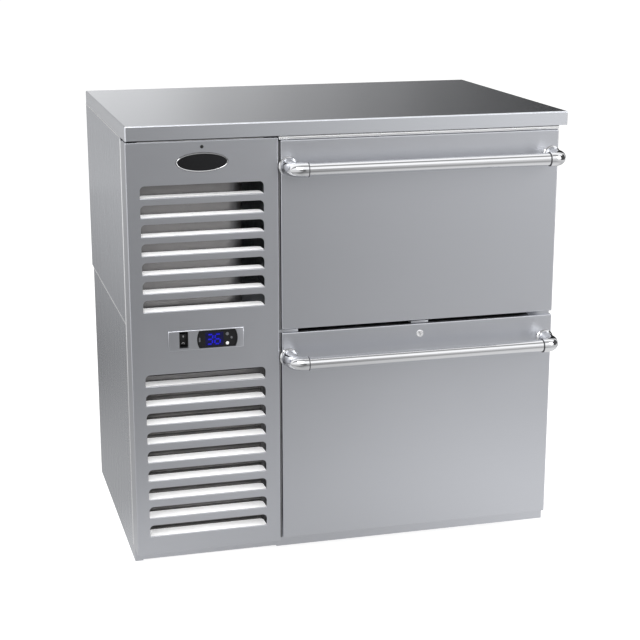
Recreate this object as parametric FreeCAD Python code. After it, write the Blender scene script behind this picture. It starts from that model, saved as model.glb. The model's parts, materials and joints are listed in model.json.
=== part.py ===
import FreeCAD, Part
import math
import os

# Undercounter refrigerator: two drawers on the right, a louvred machine compartment on the left.
# Lengths are millimetres. Modelling frame: X right from the left side, Y back from the front of
# the worktop's lip, Z up from the floor. Pieces are moved to the part's own origin, the centre of
# the footprint on the floor, when they are written.

V = FreeCAD.Vector
X_AXIS = V(1, 0, 0)
Y_AXIS = V(0, 1, 0)
Z_AXIS = V(0, 0, 1)

# Cabinet
cabinet_width = 914.4
cabinet_height = 914.4
worktop_depth = 626.0
lip_height = 28.6
worktop_sheet = 1.5
worktop_edge_radius = 3.0

# Outer skins
skin_sheet = 1.0
skin_setback = 67.0
skin_return = 14.0
seam_height = 507.0
seam_gap = 2.0
hem_thickness = 2.0
hem_height = 8.0
lower_back_recess = 29.5

# Base
base_height = 20.0
base_sheet = 1.5
base_flange = 30.0
leg_socket_inset = 45.0
leg_socket_radius = 12.0
leg_thread_radius = 5.4

# Front frame and toe rail
front_setback = 5.0
frame_setback = 47.5
frame_sheet = 1.2
frame_right_inset = 4.0
frame_behind_grille = 14.0
head_strip_setback = 8.0
head_strip_height = 7.8
sleeve_depth = 10.0
toe_rail_height = 29.5
toe_foot_width = 17.0
toe_notch_height = 2.5

# Insulated compartment
liner_sheet = 0.8
liner_back_setback = 541.0
liner_corner_radius = 10.0
partition_sheet = 1.0

# Drawers
drawer_top_gap = 9.6
drawer_side_gap = 5.0
drawer_right_inset = 16.2
drawer_bottom_gap = 5.5
upper_drawer_height = 386.2
between_drawers = 7.3
pan_sheet = 1.2
pan_edge_depth = 9.0
pan_edge_radius = 2.5
pan_return = 10.0
core_end_inset = 42.0
core_edge_inset = 3.7
core_back_setback = 35.0
core_edge_radius = 3.0
gasket_width = 12.0
gasket_groove = 2.5

# Handles
handle_drop = 52.0
handle_standoff = 52.5
handle_tube_radius = 12.7
handle_tube_wall = 1.5
post_radius = 14.75
post_bend_radius = 26.0
post_collar = 1.7
post_end_inset = 14.8
foot_radius = 19.2
foot_rim = 1.2
foot_height = 9.0
foot_waist_share = 0.22
socket_depth = 5.0
socket_clearance = 0.05

# Slides, carrying frames and bins
slide_half_height = 22.5
slide_sheet = 1.2
slide_depth = 9.5
slide_gap_across = 0.6
slide_gap_up = 0.4
slide_length = 392.0
slide_front_gap = 5.0
rail_sheet = 1.5
rail_depth = 18.0
rail_length = 405.0
rear_ledge = 11.0
bin_sheet = 1.0
bin_rim_drop = 20.0
bin_floor_gap = 14.0
bin_side_gap = 19.0
bin_front_gap = 15.0
bin_length = 375.0
bin_rim = 8.5
bin_corner_radius = 25.0
bin_floor_radius = 12.0
bin_taper = 5.0

# Lock
lock_drop = 21.1
lock_flange_radius = 7.6
lock_flange_height = 2.2
lock_barrel_radius = 6.0
lock_plug_radius = 5.0
lock_clearance = 0.05
lock_length = 24.5
lock_keyway_width = 1.3
lock_keyway_length = 7.6
lock_keyway_depth = 3.0
lock_keyway_angle = 50.0
cam_thickness = 2.5
cam_width = 9.0
cam_reach = 26.5
cam_gap = 1.0
strike_width = 38.0
strike_sheet = 1.5
strike_projection = 20.5
strike_gap = 1.2
strike_lip_gap = 2.0

# Grille panel
grille_width = 302.3
grille_top_gap = 3.8
grille_sheet = 1.2
grille_edge_radius = 2.0
flank_groove = 2.0
louvre_left = 26.5
louvre_width = 246.0
louvre_height = 24.0
louvre_corner_radius = 9.0
louvre_tab_depth = 40.0
louvre_tab_fall = 1.3
louvre_bend_radius = 2.0
upper_louvre_count = 7
upper_louvre_drop = 109.0
upper_louvre_pitch = 38.03
lower_louvre_count = 9
lower_louvre_drop = 491.0
lower_louvre_lift = 39.98
screw_hole_radius = 2.0
screw_left = 150.0
screw_drop = 12.1
badge_width = 104.5
badge_height = 39.0
badge_thickness = 1.5
badge_drop = 42.4
badge_bevel = 0.6

# Controls behind the window of the grille panel
window_left = 74.0
window_width = 154.3
window_height = 42.0
window_drop = 379.0
window_recess = 4.0
control_rim = 4.0
control_sheet = 1.2
controller_left = 58.5
controller_width = 82.5
controller_height = 35.7
controller_lift = 3.3
controller_bow = 4.5
controller_proud = 3.0
controller_depth = 56.0
cutout_width = 71.0
cutout_height = 29.0
cutout_clearance = 0.25
lens_inset = 17.3
lens_width = 36.8
lens_height = 27.8
lens_lift = 2.9
lens_thickness = 1.0
key_proud = 0.8
key_height = 2.6
key_travel = 1.0
key_clearance = 0.1
key_radius = 3.3
small_key_radius = 2.4
slim_key_half_width = 1.5
slim_key_half_height = 4.5
up_key_inset = 62.1
up_key_lift = 25.8
down_key_lift = 6.6
set_key_inset = 70.6
set_key_lift = 17.6
power_key_inset = 5.4
power_key_lift = 16.8
switch_left = 22.6
switch_width = 17.7
switch_height = 33.5
switch_lift = 6.0
switch_wall = 1.9
switch_proud = 2.0
switch_corner_radius = 2.5
switch_depth = 24.0
switch_body_inset = 0.8
rocker_gap = 0.3
rocker_end_margin = 2.95
rocker_end_depth = 8.0
rocker_middle_depth = 6.2
rocker_tilt = 9.0
rocker_pin_radius = 1.5
rocker_pin_length = 0.8
rocker_pin_clearance = 0.05
rocker_pivot_depth = 11.5

# Machine compartment
coil_left = 24.0
coil_setback = 80.0
coil_width = 252.0
coil_height = 352.0
coil_depth = 36.0
coil_plate = 1.5
coil_fin = 0.8
coil_fin_count = 21
coil_pass_count = 8
coil_tube_radius = 4.8
coil_row_inset = 22.0
shroud_depth = 52.0
shroud_sheet = 1.0
shroud_hole_clearance = 5.0
fan_radius = 105.0
fan_hub_radius = 24.0
fan_hub_depth = 26.0
fan_blade_count = 5
fan_blade_thickness = 1.6
fan_root_pitch = 42.0
fan_tip_pitch = 22.0
fan_root_chord = 34.0
fan_tip_chord = 62.0
fan_setback = 140.0
shaft_clearance = 0.08
motor_radius = 36.0
motor_depth = 52.0
motor_shaft_radius = 4.0
motor_arm_width = 10.0
motor_arm_sheet = 2.0
fan_motor_gap = 4.0
compressor_left = 152.0
compressor_pan_gap = 33.5
compressor_radius = 84.0
compressor_height = 178.0
compressor_dome = 40.0
compressor_crown_radius = 30.0
compressor_flange = 4.0
compressor_band = 5.0
compressor_seat_radius = 50.0
compressor_foot_reach = 98.0
compressor_foot_width = 26.0
compressor_foot_sheet = 3.0
grommet_radius = 10.0
grommet_height = 14.0
pipe_radius = 4.8
pipe_bend_radius = 22.0
suction_radius = 6.4
drier_radius = 15.0
drier_length = 84.0
drier_neck = 12.0
feed_rise = 66.0
pan_left = 24.0
pan_width = 250.0
pan_depth = 92.0
pan_height = 42.0
pan_wall = 2.0
pan_corner_radius = 14.0
pan_back_gap = 14.0
electrical_width = 118.0
electrical_depth = 92.0
electrical_height = 130.0
electrical_setback = 118.0
electrical_lift = 422.0
electrical_cover = 18.0
electrical_lip = 1.5
electrical_radius = 3.0
vent_columns = 2
vent_rows = 8
vent_length = 96.0
vent_height = 8.0
vent_pitch = 20.0
vent_left = 40.0
vent_gap = 24.0
vent_bottom = 190.0
bushing_left = 60.0
bushing_lift = 96.0
bushing_hole_radius = 11.0
bushing_flange_radius = 15.0
bushing_bore_radius = 6.0
bushing_flange = 2.5

# Evaporator behind the upper bin
cover_side_gap = 14.0
cover_depth = 86.0
cover_sheet = 1.0
cover_bottom_lift = 88.0
cover_top_gap = 10.0
cover_edge_radius = 6.0
cover_slot_count = 5
cover_slot_width = 60.0
cover_slot_height = 8.0
cover_slot_pitch = 18.0
cover_slot_inset = 40.0
evaporator_side_gap = 18.0
evaporator_height = 190.0
evaporator_depth = 28.0
evaporator_fin_count = 25
evaporator_pass_count = 6
evaporator_row_inset = 16.0
small_fan_radius = 68.0
small_fan_hub_radius = 17.0
small_fan_hub_depth = 16.0
small_fan_root_chord = 20.0
small_fan_tip_chord = 36.0
small_fan_setback = 6.0
small_motor_radius = 24.0
small_motor_depth = 22.0
small_motor_gap = 3.0
small_shaft_radius = 3.0

# Places worked out from the sizes above
lip_bottom = cabinet_height - lip_height
right_skin = cabinet_width - skin_sheet
lower_back = worktop_depth - lower_back_recess
frame_right = cabinet_width - frame_right_inset
frame_left = grille_width - frame_behind_grille
frame_back = frame_setback + frame_sheet
base_front = skin_setback + skin_sheet
base_back = lower_back - skin_sheet

grille_top = lip_bottom - grille_top_gap
drawer_left = grille_width + drawer_side_gap
drawer_right = cabinet_width - drawer_right_inset
drawer_middle = (drawer_left + drawer_right) / 2
upper_drawer_top = lip_bottom - drawer_top_gap
upper_drawer_bottom = upper_drawer_top - upper_drawer_height
lower_drawer_top = upper_drawer_bottom - between_drawers
lower_drawer_bottom = toe_rail_height + drawer_bottom_gap

seal_end = core_end_inset + gasket_width
seal_edge = core_edge_inset + gasket_width
opening_left = drawer_left + seal_end
opening_right = drawer_right - seal_end
upper_opening = (upper_drawer_bottom + seal_edge, upper_drawer_top - seal_edge)
lower_opening = (lower_drawer_bottom + seal_edge, lower_drawer_top - seal_edge)
liner_front = frame_setback + sleeve_depth

first_lower_louvre = grille_top - lower_louvre_drop
last_lower_louvre = toe_rail_height + lower_louvre_lift
lower_louvre_pitch = (first_lower_louvre - last_lower_louvre) / (lower_louvre_count - 1)
window_top = grille_top - window_drop
window_bottom = window_top - window_height
control_face = front_setback + window_recess
controller_face = control_face - controller_proud
key_face = controller_face - key_proud

lock_height = lower_drawer_top - lock_drop
lock_back = front_setback + lock_length
cam_front = lock_back + cam_gap

handle_axis = front_setback - handle_standoff
handle_front = handle_axis - post_radius
origin = V(cabinet_width / 2, (handle_front + worktop_depth) / 2, 0)

pan_front = base_back - pan_back_gap - pan_depth
compressor_setback = pan_front - compressor_pan_gap - compressor_radius

cut_over = 1.0
same_place = 0.001
sheet_corner_share = 0.8
round_end_share = 0.45
hub_round_share = 0.25
motor_round_share = 0.125


def box(x0, x1, y0, y1, z0, z1):
    return Part.makeBox(x1 - x0, y1 - y0, z1 - z0, V(x0, y0, z0))


def cylinder(radius, start, axis, length):
    return Part.makeCylinder(radius, length, start, axis)


def along(axis, length):
    return V(axis.x * length, axis.y * length, axis.z * length)


def fused(shapes):
    whole = shapes[0]
    for shape in shapes[1:]:
        whole = whole.fuse(shape)
    return whole.removeSplitter()


def group(shapes):
    return Part.makeCompound(shapes)


def mirrored(shape):
    """The same sheet on the cabinet's other side."""
    return shape.mirror(V(cabinet_width / 2, 0, 0), X_AXIS)


def drawer_mirrored(shape):
    """The same piece at the drawer's other end."""
    return shape.mirror(V(drawer_middle, 0, 0), X_AXIS)


def rounded(shape, radius, wanted):
    """The shape with a fillet on each edge whose box passes the test."""
    edges = [edge for edge in shape.Edges if wanted(edge.BoundBox)]
    return shape.makeFillet(radius, edges)


def near(value, target):
    return abs(value - target) < same_place


def flat_at(low, high, target):
    return near(low, target) and near(high, target)


def edge_runs(bounds, direction):
    """Whether an edge's box is long along one axis and thin across the other two."""
    lengths = {"x": bounds.XLength, "y": bounds.YLength, "z": bounds.ZLength}
    across = [lengths[name] for name in lengths if name != direction]
    return lengths[direction] > max(across) and max(across) < same_place


def polygon(points):
    return Part.Face(Part.makePolygon(points + [points[0]]))


def rounded_rectangle(width, depth, radius, centre):
    """A horizontal wire with rounded corners, from straight edges and quarter arcs."""
    half_x = width / 2 - radius
    half_y = depth / 2 - radius
    corners = [(half_x, half_y, 0), (-half_x, half_y, 90), (-half_x, -half_y, 180), (half_x, -half_y, 270)]
    arcs = []
    for corner_x, corner_y, start in corners:
        middle = centre + V(corner_x, corner_y, 0)
        arcs.append(Part.makeCircle(radius, middle, Z_AXIS, start, start + 90))
    edges = []
    for index, arc in enumerate(arcs):
        following = arcs[(index + 1) % len(arcs)]
        edges.append(arc)
        edges.append(Part.makeLine(arc.lastVertex().Point, following.firstVertex().Point))
    return Part.Wire(Part.__sortEdges__(edges))


def pipe(points, bend_radius, radius):
    """A round bar along straight runs joined by tangent arcs."""
    edges = []
    start = points[0]
    for index in range(1, len(points) - 1):
        corner = points[index]
        into = (corner - points[index - 1]).normalize()
        out = (points[index + 1] - corner).normalize()
        turn = into.getAngle(out)
        reach = bend_radius * math.tan(turn / 2)
        arc_start = corner - along(into, reach)
        arc_end = corner + along(out, reach)
        inwards = (out - into).normalize()
        to_centre = bend_radius / math.cos(turn / 2)
        arc_middle = corner + along(inwards, to_centre - bend_radius)
        edges.append(Part.makeLine(start, arc_start))
        edges.append(Part.Arc(arc_start, arc_middle, arc_end).toShape())
        start = arc_end
    edges.append(Part.makeLine(start, points[-1]))
    path = Part.Wire(edges)
    direction = (points[1] - points[0]).normalize()
    section = Part.Wire(Part.makeCircle(radius, points[0], direction))
    return path.makePipeShell([section], True, False)


# Cabinet

def worktop():
    """Folded pan, open below, with rounded bends along its top and corners."""
    top = box(0, cabinet_width, 0, worktop_depth, lip_bottom, cabinet_height)
    top = rounded(top, worktop_edge_radius,
                  lambda edge: flat_at(edge.ZMin, edge.ZMax, cabinet_height) or edge_runs(edge, "z"))
    return top.cut(worktop_filling(lip_bottom - cut_over))


def worktop_filling(bottom):
    sheet = worktop_sheet
    return box(sheet, cabinet_width - sheet, sheet, worktop_depth - sheet, bottom, cabinet_height - sheet)


def worktop_core():
    return worktop_filling(lip_bottom)


def side_sheet(bottom, top, back):
    """The left-hand sheet with its front edge turned in."""
    sheet = box(0, skin_sheet, skin_setback, back, bottom, top)
    turned = box(0, skin_return, skin_setback, skin_setback + skin_sheet, bottom, top)
    skin = sheet.fuse(turned).removeSplitter()
    return rounded(skin, skin_sheet * sheet_corner_share,
                   lambda edge: edge_runs(edge, "z") and near(edge.XMin, 0) and near(edge.YMin, skin_setback))


def left_side_upper():
    """The upper sheet ends in a hem that is folded to the inside, with a round bottom edge."""
    skin = side_sheet(seam_height, lip_bottom, worktop_depth - skin_sheet)
    hem = box(0, hem_thickness, base_front, lower_back - skin_sheet, seam_height, seam_height + hem_height)
    hem = rounded(hem, hem_thickness * round_end_share,
                  lambda edge: edge_runs(edge, "y") and near(edge.ZMin, seam_height))
    groove = box(-cut_over, skin_sheet, base_front, base_back, seam_height - cut_over,
                 seam_height + hem_height)
    return skin.cut(groove).fuse(hem).removeSplitter()


def left_side_lower():
    return side_sheet(0, seam_height - seam_gap, base_back)


def back_panel_upper():
    """Rear sheet whose lower edge is turned forward over the recess."""
    rear = box(skin_sheet, right_skin, worktop_depth - skin_sheet, worktop_depth, seam_height, lip_bottom)
    ends = []
    for x in (0, right_skin):
        ends.append(box(x, x + skin_sheet, worktop_depth - skin_sheet, worktop_depth, seam_height,
                        lip_bottom))
    ledge = box(hem_thickness, cabinet_width - hem_thickness, base_back, worktop_depth, seam_height,
                seam_height + skin_sheet)
    return fused([rear, ledge] + ends)


def vent_slot(left, bottom):
    slot = box(left, left + vent_length, base_back - cut_over, lower_back + cut_over, bottom,
               bottom + vent_height)
    return rounded(slot, vent_height * round_end_share, lambda edge: edge_runs(edge, "y"))


def back_panel_lower():
    """Rear sheet with the vents of the machine compartment and the hole of the supply cord."""
    panel = box(0, cabinet_width, base_back, lower_back, 0, seam_height)
    for column in range(vent_columns):
        left = vent_left + column * (vent_length + vent_gap)
        for row in range(vent_rows):
            panel = panel.cut(vent_slot(left, vent_bottom + row * vent_pitch))
    hole = cylinder(bushing_hole_radius, V(bushing_left, base_back - cut_over, bushing_lift), Y_AXIS,
                    skin_sheet + 2 * cut_over)
    return panel.cut(hole)


def cord_bushing():
    """Flanged ring that lines the cord's hole."""
    start = V(bushing_left, base_back - bushing_flange, bushing_lift)
    length = skin_sheet + 2 * bushing_flange
    neck = cylinder(bushing_hole_radius, start, Y_AXIS, length)
    inner_flange = cylinder(bushing_flange_radius, start, Y_AXIS, bushing_flange)
    outer_start = V(bushing_left, lower_back, bushing_lift)
    outer_flange = cylinder(bushing_flange_radius, outer_start, Y_AXIS, bushing_flange)
    ring = fused([neck, inner_flange, outer_flange])
    bore = cylinder(bushing_bore_radius, start - along(Y_AXIS, cut_over), Y_AXIS, length + 2 * cut_over)
    return ring.cut(bore)


def leg_socket_places():
    places = []
    for x in (leg_socket_inset, cabinet_width - leg_socket_inset):
        for y in (base_front + leg_socket_inset, base_back - leg_socket_inset):
            places.append(V(x, y, 0))
    return places


def base_pan():
    """Floor pan whose edges are folded down and in as channels, with four threaded leg sockets."""
    outer = box(skin_sheet, right_skin, base_front, base_back, 0, base_height)
    under = base_height - base_sheet
    inset = skin_sheet + base_sheet
    front = base_front + base_sheet
    back = base_back - base_sheet
    channel = box(inset, cabinet_width - inset, front, back, base_sheet, under)
    wide = skin_sheet + base_flange
    mouth = box(wide, cabinet_width - wide, base_front + base_flange, base_back - base_flange,
                -cut_over, base_sheet + cut_over)
    pan = outer.cut(channel).cut(mouth)
    for place in leg_socket_places():
        pan = pan.fuse(cylinder(leg_socket_radius, place, Z_AXIS, under + base_sheet / 2))
    for place in leg_socket_places():
        pan = pan.cut(cylinder(leg_thread_radius, place - along(Z_AXIS, cut_over), Z_AXIS,
                               base_height + 2 * cut_over))
    return pan.removeSplitter()


def toe_rail():
    """Channel across the front at floor level, relieved between its foot and the drawers."""
    rail = box(0, frame_right, frame_setback, skin_setback, 0, toe_rail_height)
    hollow = box(frame_sheet, frame_right - frame_sheet, frame_back, skin_setback + cut_over,
                 frame_sheet, toe_rail_height - frame_sheet)
    relief = box(toe_foot_width, grille_width, frame_setback - cut_over, skin_setback + cut_over,
                 -cut_over, toe_notch_height)
    return rail.cut(hollow).cut(relief)


def opening_block(opening, grow, front, back):
    """The space of one drawer opening, grown on all four sides."""
    bottom, top = opening
    return box(opening_left - grow, opening_right + grow, front, back, bottom - grow, top + grow)


def face_frame():
    """Front sheet with a sleeve round each opening, a turned outer edge and a strip under the lip."""
    sheet = box(frame_left, frame_right, frame_setback, frame_back, toe_rail_height, lip_bottom)
    edge = box(frame_right - frame_sheet, frame_right, frame_setback, skin_setback, toe_rail_height,
               lip_bottom)
    top = box(grille_width + partition_sheet, frame_right, frame_setback, skin_setback,
              lip_bottom - frame_sheet, lip_bottom)
    strip_left = grille_width + partition_sheet
    strip_bottom = lip_bottom - head_strip_height
    strip = box(strip_left, drawer_right, head_strip_setback, head_strip_setback + frame_sheet,
                strip_bottom, lip_bottom)
    shelf = box(strip_left, drawer_right, head_strip_setback, frame_back, strip_bottom,
                strip_bottom + frame_sheet)
    frame = fused([sheet, edge, top, strip, shelf])
    frame = rounded(frame, frame_sheet * sheet_corner_share,
                    lambda line: edge_runs(line, "z") and near(line.XMin, frame_right)
                    and near(line.YMin, frame_setback))
    for opening in (upper_opening, lower_opening):
        frame = frame.fuse(opening_block(opening, frame_sheet, frame_setback, liner_front))
    for opening in (upper_opening, lower_opening):
        frame = frame.cut(opening_block(opening, 0, frame_setback - cut_over, liner_front + cut_over))
    return frame.removeSplitter()


def liner_block(grow, front):
    """The cold compartment's space, with coved corners at the back, grown by a sheet's thickness."""
    block = box(opening_left - grow, opening_right + grow, front, liner_back_setback + grow,
                lower_opening[0] - grow, upper_opening[1] + grow)
    back = liner_back_setback + grow
    return rounded(block, liner_corner_radius + grow, lambda edge: flat_at(edge.YMin, edge.YMax, back))


def inner_liner():
    return liner_block(liner_sheet, liner_front).cut(liner_block(0, liner_front - cut_over))


def partition_skin():
    """Sheet between the machine compartment and the insulation, turned behind the front frame."""
    sheet = box(grille_width, grille_width + partition_sheet, frame_back, base_back, toe_rail_height,
                lip_bottom)
    lower = box(grille_width, grille_width + partition_sheet, base_front, base_back, base_height,
                toe_rail_height + cut_over)
    rear = box(grille_width, grille_width + partition_sheet, base_back - cut_over, worktop_depth - skin_sheet,
               seam_height + skin_sheet, lip_bottom)
    turned = box(frame_left, grille_width + partition_sheet, frame_back, frame_back + partition_sheet,
                 toe_rail_height, lip_bottom)
    return fused([sheet, lower, rear, turned])


def insulation():
    """Foam between the outer skins and the liner, with a filled bar behind the cross rail."""
    left = grille_width + partition_sheet
    lower = box(left, right_skin, base_front, base_back, base_height, seam_height + skin_sheet)
    upper = box(left, right_skin, base_front, worktop_depth - skin_sheet, seam_height + skin_sheet,
                lip_bottom)
    hem_room = box(cabinet_width - hem_thickness, cabinet_width, base_front, base_back,
                   seam_height - cut_over, seam_height + hem_height)
    ledge_room = box(left, right_skin, base_back, worktop_depth, seam_height, seam_height + skin_sheet)
    front = box(left, cabinet_width - skin_return, frame_back, base_front, toe_rail_height,
                lip_bottom - frame_sheet)
    foam = fused([lower, upper, front]).cut(hem_room).cut(ledge_room)
    foam = foam.cut(liner_block(liner_sheet, liner_front))
    for opening in (upper_opening, lower_opening):
        foam = foam.cut(opening_block(opening, frame_sheet, frame_setback, liner_front))
    return foam.removeSplitter()


# Grille panel and controls

def louvre_opening():
    """One slot with round top corners, cut down to where the bend of its tab begins."""
    slot = box(0, louvre_width, -cut_over, grille_sheet + cut_over, -louvre_bend_radius, louvre_height)
    return rounded(slot, louvre_corner_radius,
                   lambda edge: edge_runs(edge, "y") and near(edge.ZMin, louvre_height))


def louvre_tab():
    """The slot's own metal, bent inward along its bottom edge and falling a little to a round free end."""
    bend = louvre_bend_radius
    fall = louvre_tab_fall
    front_low = V(0, 0, -bend)
    bend_end = V(0, bend, 0)
    bend_middle = V(0, bend * (1 - math.cos(math.pi / 4)), -bend * (1 - math.sin(math.pi / 4)))
    tip_top = V(0, louvre_tab_depth, -fall)
    tip_bottom = V(0, louvre_tab_depth, -fall - grille_sheet)
    root = V(0, grille_sheet + bend, -grille_sheet)
    root_low = V(0, grille_sheet, -bend - grille_sheet)
    start = V(0, 0, -bend - grille_sheet)
    edges = [
        Part.makeLine(start, front_low),
        Part.Arc(front_low, bend_middle, bend_end).toShape(),
        Part.makeLine(bend_end, tip_top),
        Part.makeLine(tip_top, tip_bottom),
        Part.makeLine(tip_bottom, root),
        Part.makeLine(root, root_low),
        Part.makeLine(root_low, start),
    ]
    tab = Part.Face(Part.Wire(edges)).extrude(V(louvre_width, 0, 0))
    plan = box(0, louvre_width, -cut_over, louvre_tab_depth, -louvre_height, louvre_height)
    plan = rounded(plan, louvre_corner_radius,
                   lambda edge: edge_runs(edge, "z") and near(edge.YMin, louvre_tab_depth))
    return tab.common(plan)


def louvre_heights():
    """The bottom edges of all slots, from the top of the panel down."""
    heights = []
    for index in range(upper_louvre_count):
        heights.append(grille_top - upper_louvre_drop - index * upper_louvre_pitch)
    for index in range(lower_louvre_count):
        heights.append(first_lower_louvre - index * lower_louvre_pitch)
    return heights


def grille_panel():
    """Pan with a deep left flank, pierced by the lanced louvres, the window and the screw's hole."""
    sheet = grille_sheet
    outer = box(0, grille_width, front_setback, frame_setback, toe_rail_height, grille_top)
    outer = rounded(outer, grille_edge_radius,
                    lambda edge: flat_at(edge.YMin, edge.YMax, front_setback) or
                    (edge_runs(edge, "y") and near(edge.ZMin, grille_top)))
    hollow = box(sheet, grille_width - sheet, front_setback + sheet, frame_setback + cut_over,
                 toe_rail_height + sheet, grille_top - sheet)
    flank = box(0, sheet, frame_setback - cut_over, skin_setback - flank_groove, toe_rail_height,
                grille_top - grille_edge_radius)
    panel = outer.cut(hollow).fuse(flank)
    opening = louvre_opening()
    tab = louvre_tab()
    openings = []
    tabs = []
    for height in louvre_heights():
        place = V(louvre_left, front_setback, height)
        openings.append(opening.translated(place))
        tabs.append(tab.translated(place))
    window = box(window_left, window_left + window_width, front_setback - cut_over,
                 front_setback + sheet + cut_over, window_bottom, window_top)
    screw = cylinder(screw_hole_radius, V(screw_left, front_setback - cut_over, grille_top - screw_drop),
                     Y_AXIS, sheet + 2 * cut_over)
    panel = panel.cut(openings + [window, screw])
    return panel.fuse(tabs).removeSplitter()


def badge_plate():
    """Bare oval plate with a bevelled rim on the face of the grille panel."""
    centre = V(screw_left, front_setback, grille_top - badge_drop)
    ellipse = Part.Ellipse(centre, badge_width / 2, badge_height / 2).toShape()
    ellipse.rotate(centre, X_AXIS, 90)
    plate = Part.Face(Part.Wire([ellipse])).extrude(V(0, -badge_thickness, 0))
    face = front_setback - badge_thickness
    return plate.makeChamfer(badge_bevel, [edge for edge in plate.Edges
                                           if flat_at(edge.BoundBox.YMin, edge.BoundBox.YMax, face)])


def switch_box():
    """Left, right, bottom and top of the rocker switch's bezel."""
    left = window_left + switch_left
    bottom = window_bottom + switch_lift
    return left, left + switch_width, bottom, bottom + switch_height


def controller_box():
    left = window_left + controller_left
    bottom = window_bottom + controller_lift
    return left, left + controller_width, bottom, bottom + controller_height


def centred_cutout(bounds, width, height):
    """A rectangle of the given size in the middle of another one."""
    left, right, bottom, top = bounds
    middle_x = (left + right) / 2
    middle_z = (bottom + top) / 2
    return middle_x - width / 2, middle_x + width / 2, middle_z - height / 2, middle_z + height / 2


def switch_body_box():
    return centred_cutout(switch_box(), switch_width - 2 * switch_body_inset,
                          switch_height - 2 * switch_body_inset)


def controller_body_box():
    return centred_cutout(controller_box(), cutout_width, cutout_height)


def slab(bounds, front, back, grow=0):
    left, right, bottom, top = bounds
    return box(left - grow, right + grow, front, back, bottom - grow, top + grow)


def control_plate():
    """Shallow dish whose rim meets the back of the grille panel round the window."""
    window = (window_left, window_left + window_width, window_bottom, window_top)
    dish = slab(window, front_setback + grille_sheet, control_face + control_sheet, control_rim)
    recess = slab(window, front_setback, control_face)
    plate = dish.cut(recess)
    back = control_face + control_sheet + cut_over
    for hole in (switch_body_box(), controller_body_box()):
        plate = plate.cut(slab(hole, control_face - cut_over, back, cutout_clearance))
    return plate


def bowed_bezel():
    """The controller's front: straight above and below, bowed at both ends."""
    left, right, bottom, top = controller_box()
    middle = (bottom + top) / 2
    inner_left = left + controller_bow
    inner_right = right - controller_bow
    y = controller_face
    low_left = V(inner_left, y, bottom)
    low_right = V(inner_right, y, bottom)
    high_right = V(inner_right, y, top)
    high_left = V(inner_left, y, top)
    edges = [
        Part.makeLine(low_left, low_right),
        Part.Arc(low_right, V(right, y, middle), high_right).toShape(),
        Part.makeLine(high_right, high_left),
        Part.Arc(high_left, V(left, y, middle), low_left).toShape(),
    ]
    return Part.Face(Part.Wire(edges)).extrude(V(0, control_face - controller_face, 0))


def lens_block(front, back):
    left, right, bottom, top = controller_box()
    return box(left + lens_inset, left + lens_inset + lens_width, front, back,
               bottom + lens_lift, bottom + lens_lift + lens_height)


def round_key(inset, lift, radius, front, back):
    left, right, bottom, top = controller_box()
    return cylinder(radius, V(left + inset, front, bottom + lift), Y_AXIS, back - front)


def slim_key(grow, front, back):
    """Upright key with half-round ends at the controller's left end."""
    left, right, bottom, top = controller_box()
    x = left + power_key_inset
    z = bottom + power_key_lift
    half_width = slim_key_half_width + grow
    half_height = slim_key_half_height + grow
    straight = half_height - half_width
    block = box(x - half_width, x + half_width, front, back, z - straight, z + straight)
    ends = []
    for side in (-1, 1):
        ends.append(cylinder(half_width, V(x, front, z + side * straight), Y_AXIS, back - front))
    return fused([block] + ends)


def key_back():
    return key_face + key_height


def key_pocket_back():
    return key_back() + key_travel + key_clearance


def controller_body():
    """Bezel and rear case of the digital thermostat, with pockets for its lens and keys."""
    front = key_face - cut_over
    back = key_pocket_back()
    case = slab(controller_body_box(), control_face, control_face + controller_depth)
    body = bowed_bezel().fuse(case)
    pockets = [
        lens_block(controller_face - cut_over, controller_face + lens_thickness),
        round_key(up_key_inset, up_key_lift, key_radius + key_clearance, front, back),
        round_key(up_key_inset, down_key_lift, key_radius + key_clearance, front, back),
        round_key(set_key_inset, set_key_lift, small_key_radius + key_clearance, front, back),
        slim_key(key_clearance, front, back),
    ]
    return body.cut(pockets).removeSplitter()


def controller_lens():
    return lens_block(controller_face, controller_face + lens_thickness)


def up_key():
    return round_key(up_key_inset, up_key_lift, key_radius, key_face, key_back())


def down_key():
    return round_key(up_key_inset, down_key_lift, key_radius, key_face, key_back())


def set_key():
    return round_key(set_key_inset, set_key_lift, small_key_radius, key_face, key_back())


def power_key():
    return slim_key(0, key_face, key_back())


def rocker_pivot():
    left, right, bottom, top = switch_box()
    return V((left + right) / 2, control_face - switch_proud + rocker_pivot_depth, (bottom + top) / 2)


def rocker_half_width():
    return switch_width / 2 - switch_wall - rocker_gap


def rocker_half_height():
    return switch_height / 2 - rocker_end_margin


def rocker_pocket_half_height():
    """The tilted rocker's corner reaches furthest when the other end is pressed."""
    reach = math.hypot(rocker_end_depth, rocker_half_height())
    lean = math.atan2(rocker_end_depth, rocker_half_height())
    return reach * math.cos(lean - math.radians(rocker_tilt)) + rocker_gap


def switch_body():
    """Bezel and case with the rocker's well and the two holes of its pivot pins."""
    bounds = switch_box()
    face = control_face - switch_proud
    bezel = slab(bounds, face, control_face)
    bezel = rounded(bezel, switch_corner_radius, lambda edge: edge_runs(edge, "y"))
    case = slab(switch_body_box(), control_face, control_face + switch_depth)
    pivot = rocker_pivot()
    half_width = rocker_half_width() + rocker_gap
    half_height = rocker_pocket_half_height()
    well = box(pivot.x - half_width, pivot.x + half_width, face - cut_over, pivot.y + rocker_end_depth,
               pivot.z - half_height, pivot.z + half_height)
    pin_length = 2 * (rocker_half_width() + rocker_pin_length + rocker_gap)
    start = V(pivot.x - pin_length / 2, pivot.y, pivot.z)
    holes = cylinder(rocker_pin_radius + rocker_pin_clearance, start, X_AXIS, pin_length)
    return bezel.fuse(case).cut(well).cut(holes).removeSplitter()


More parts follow.
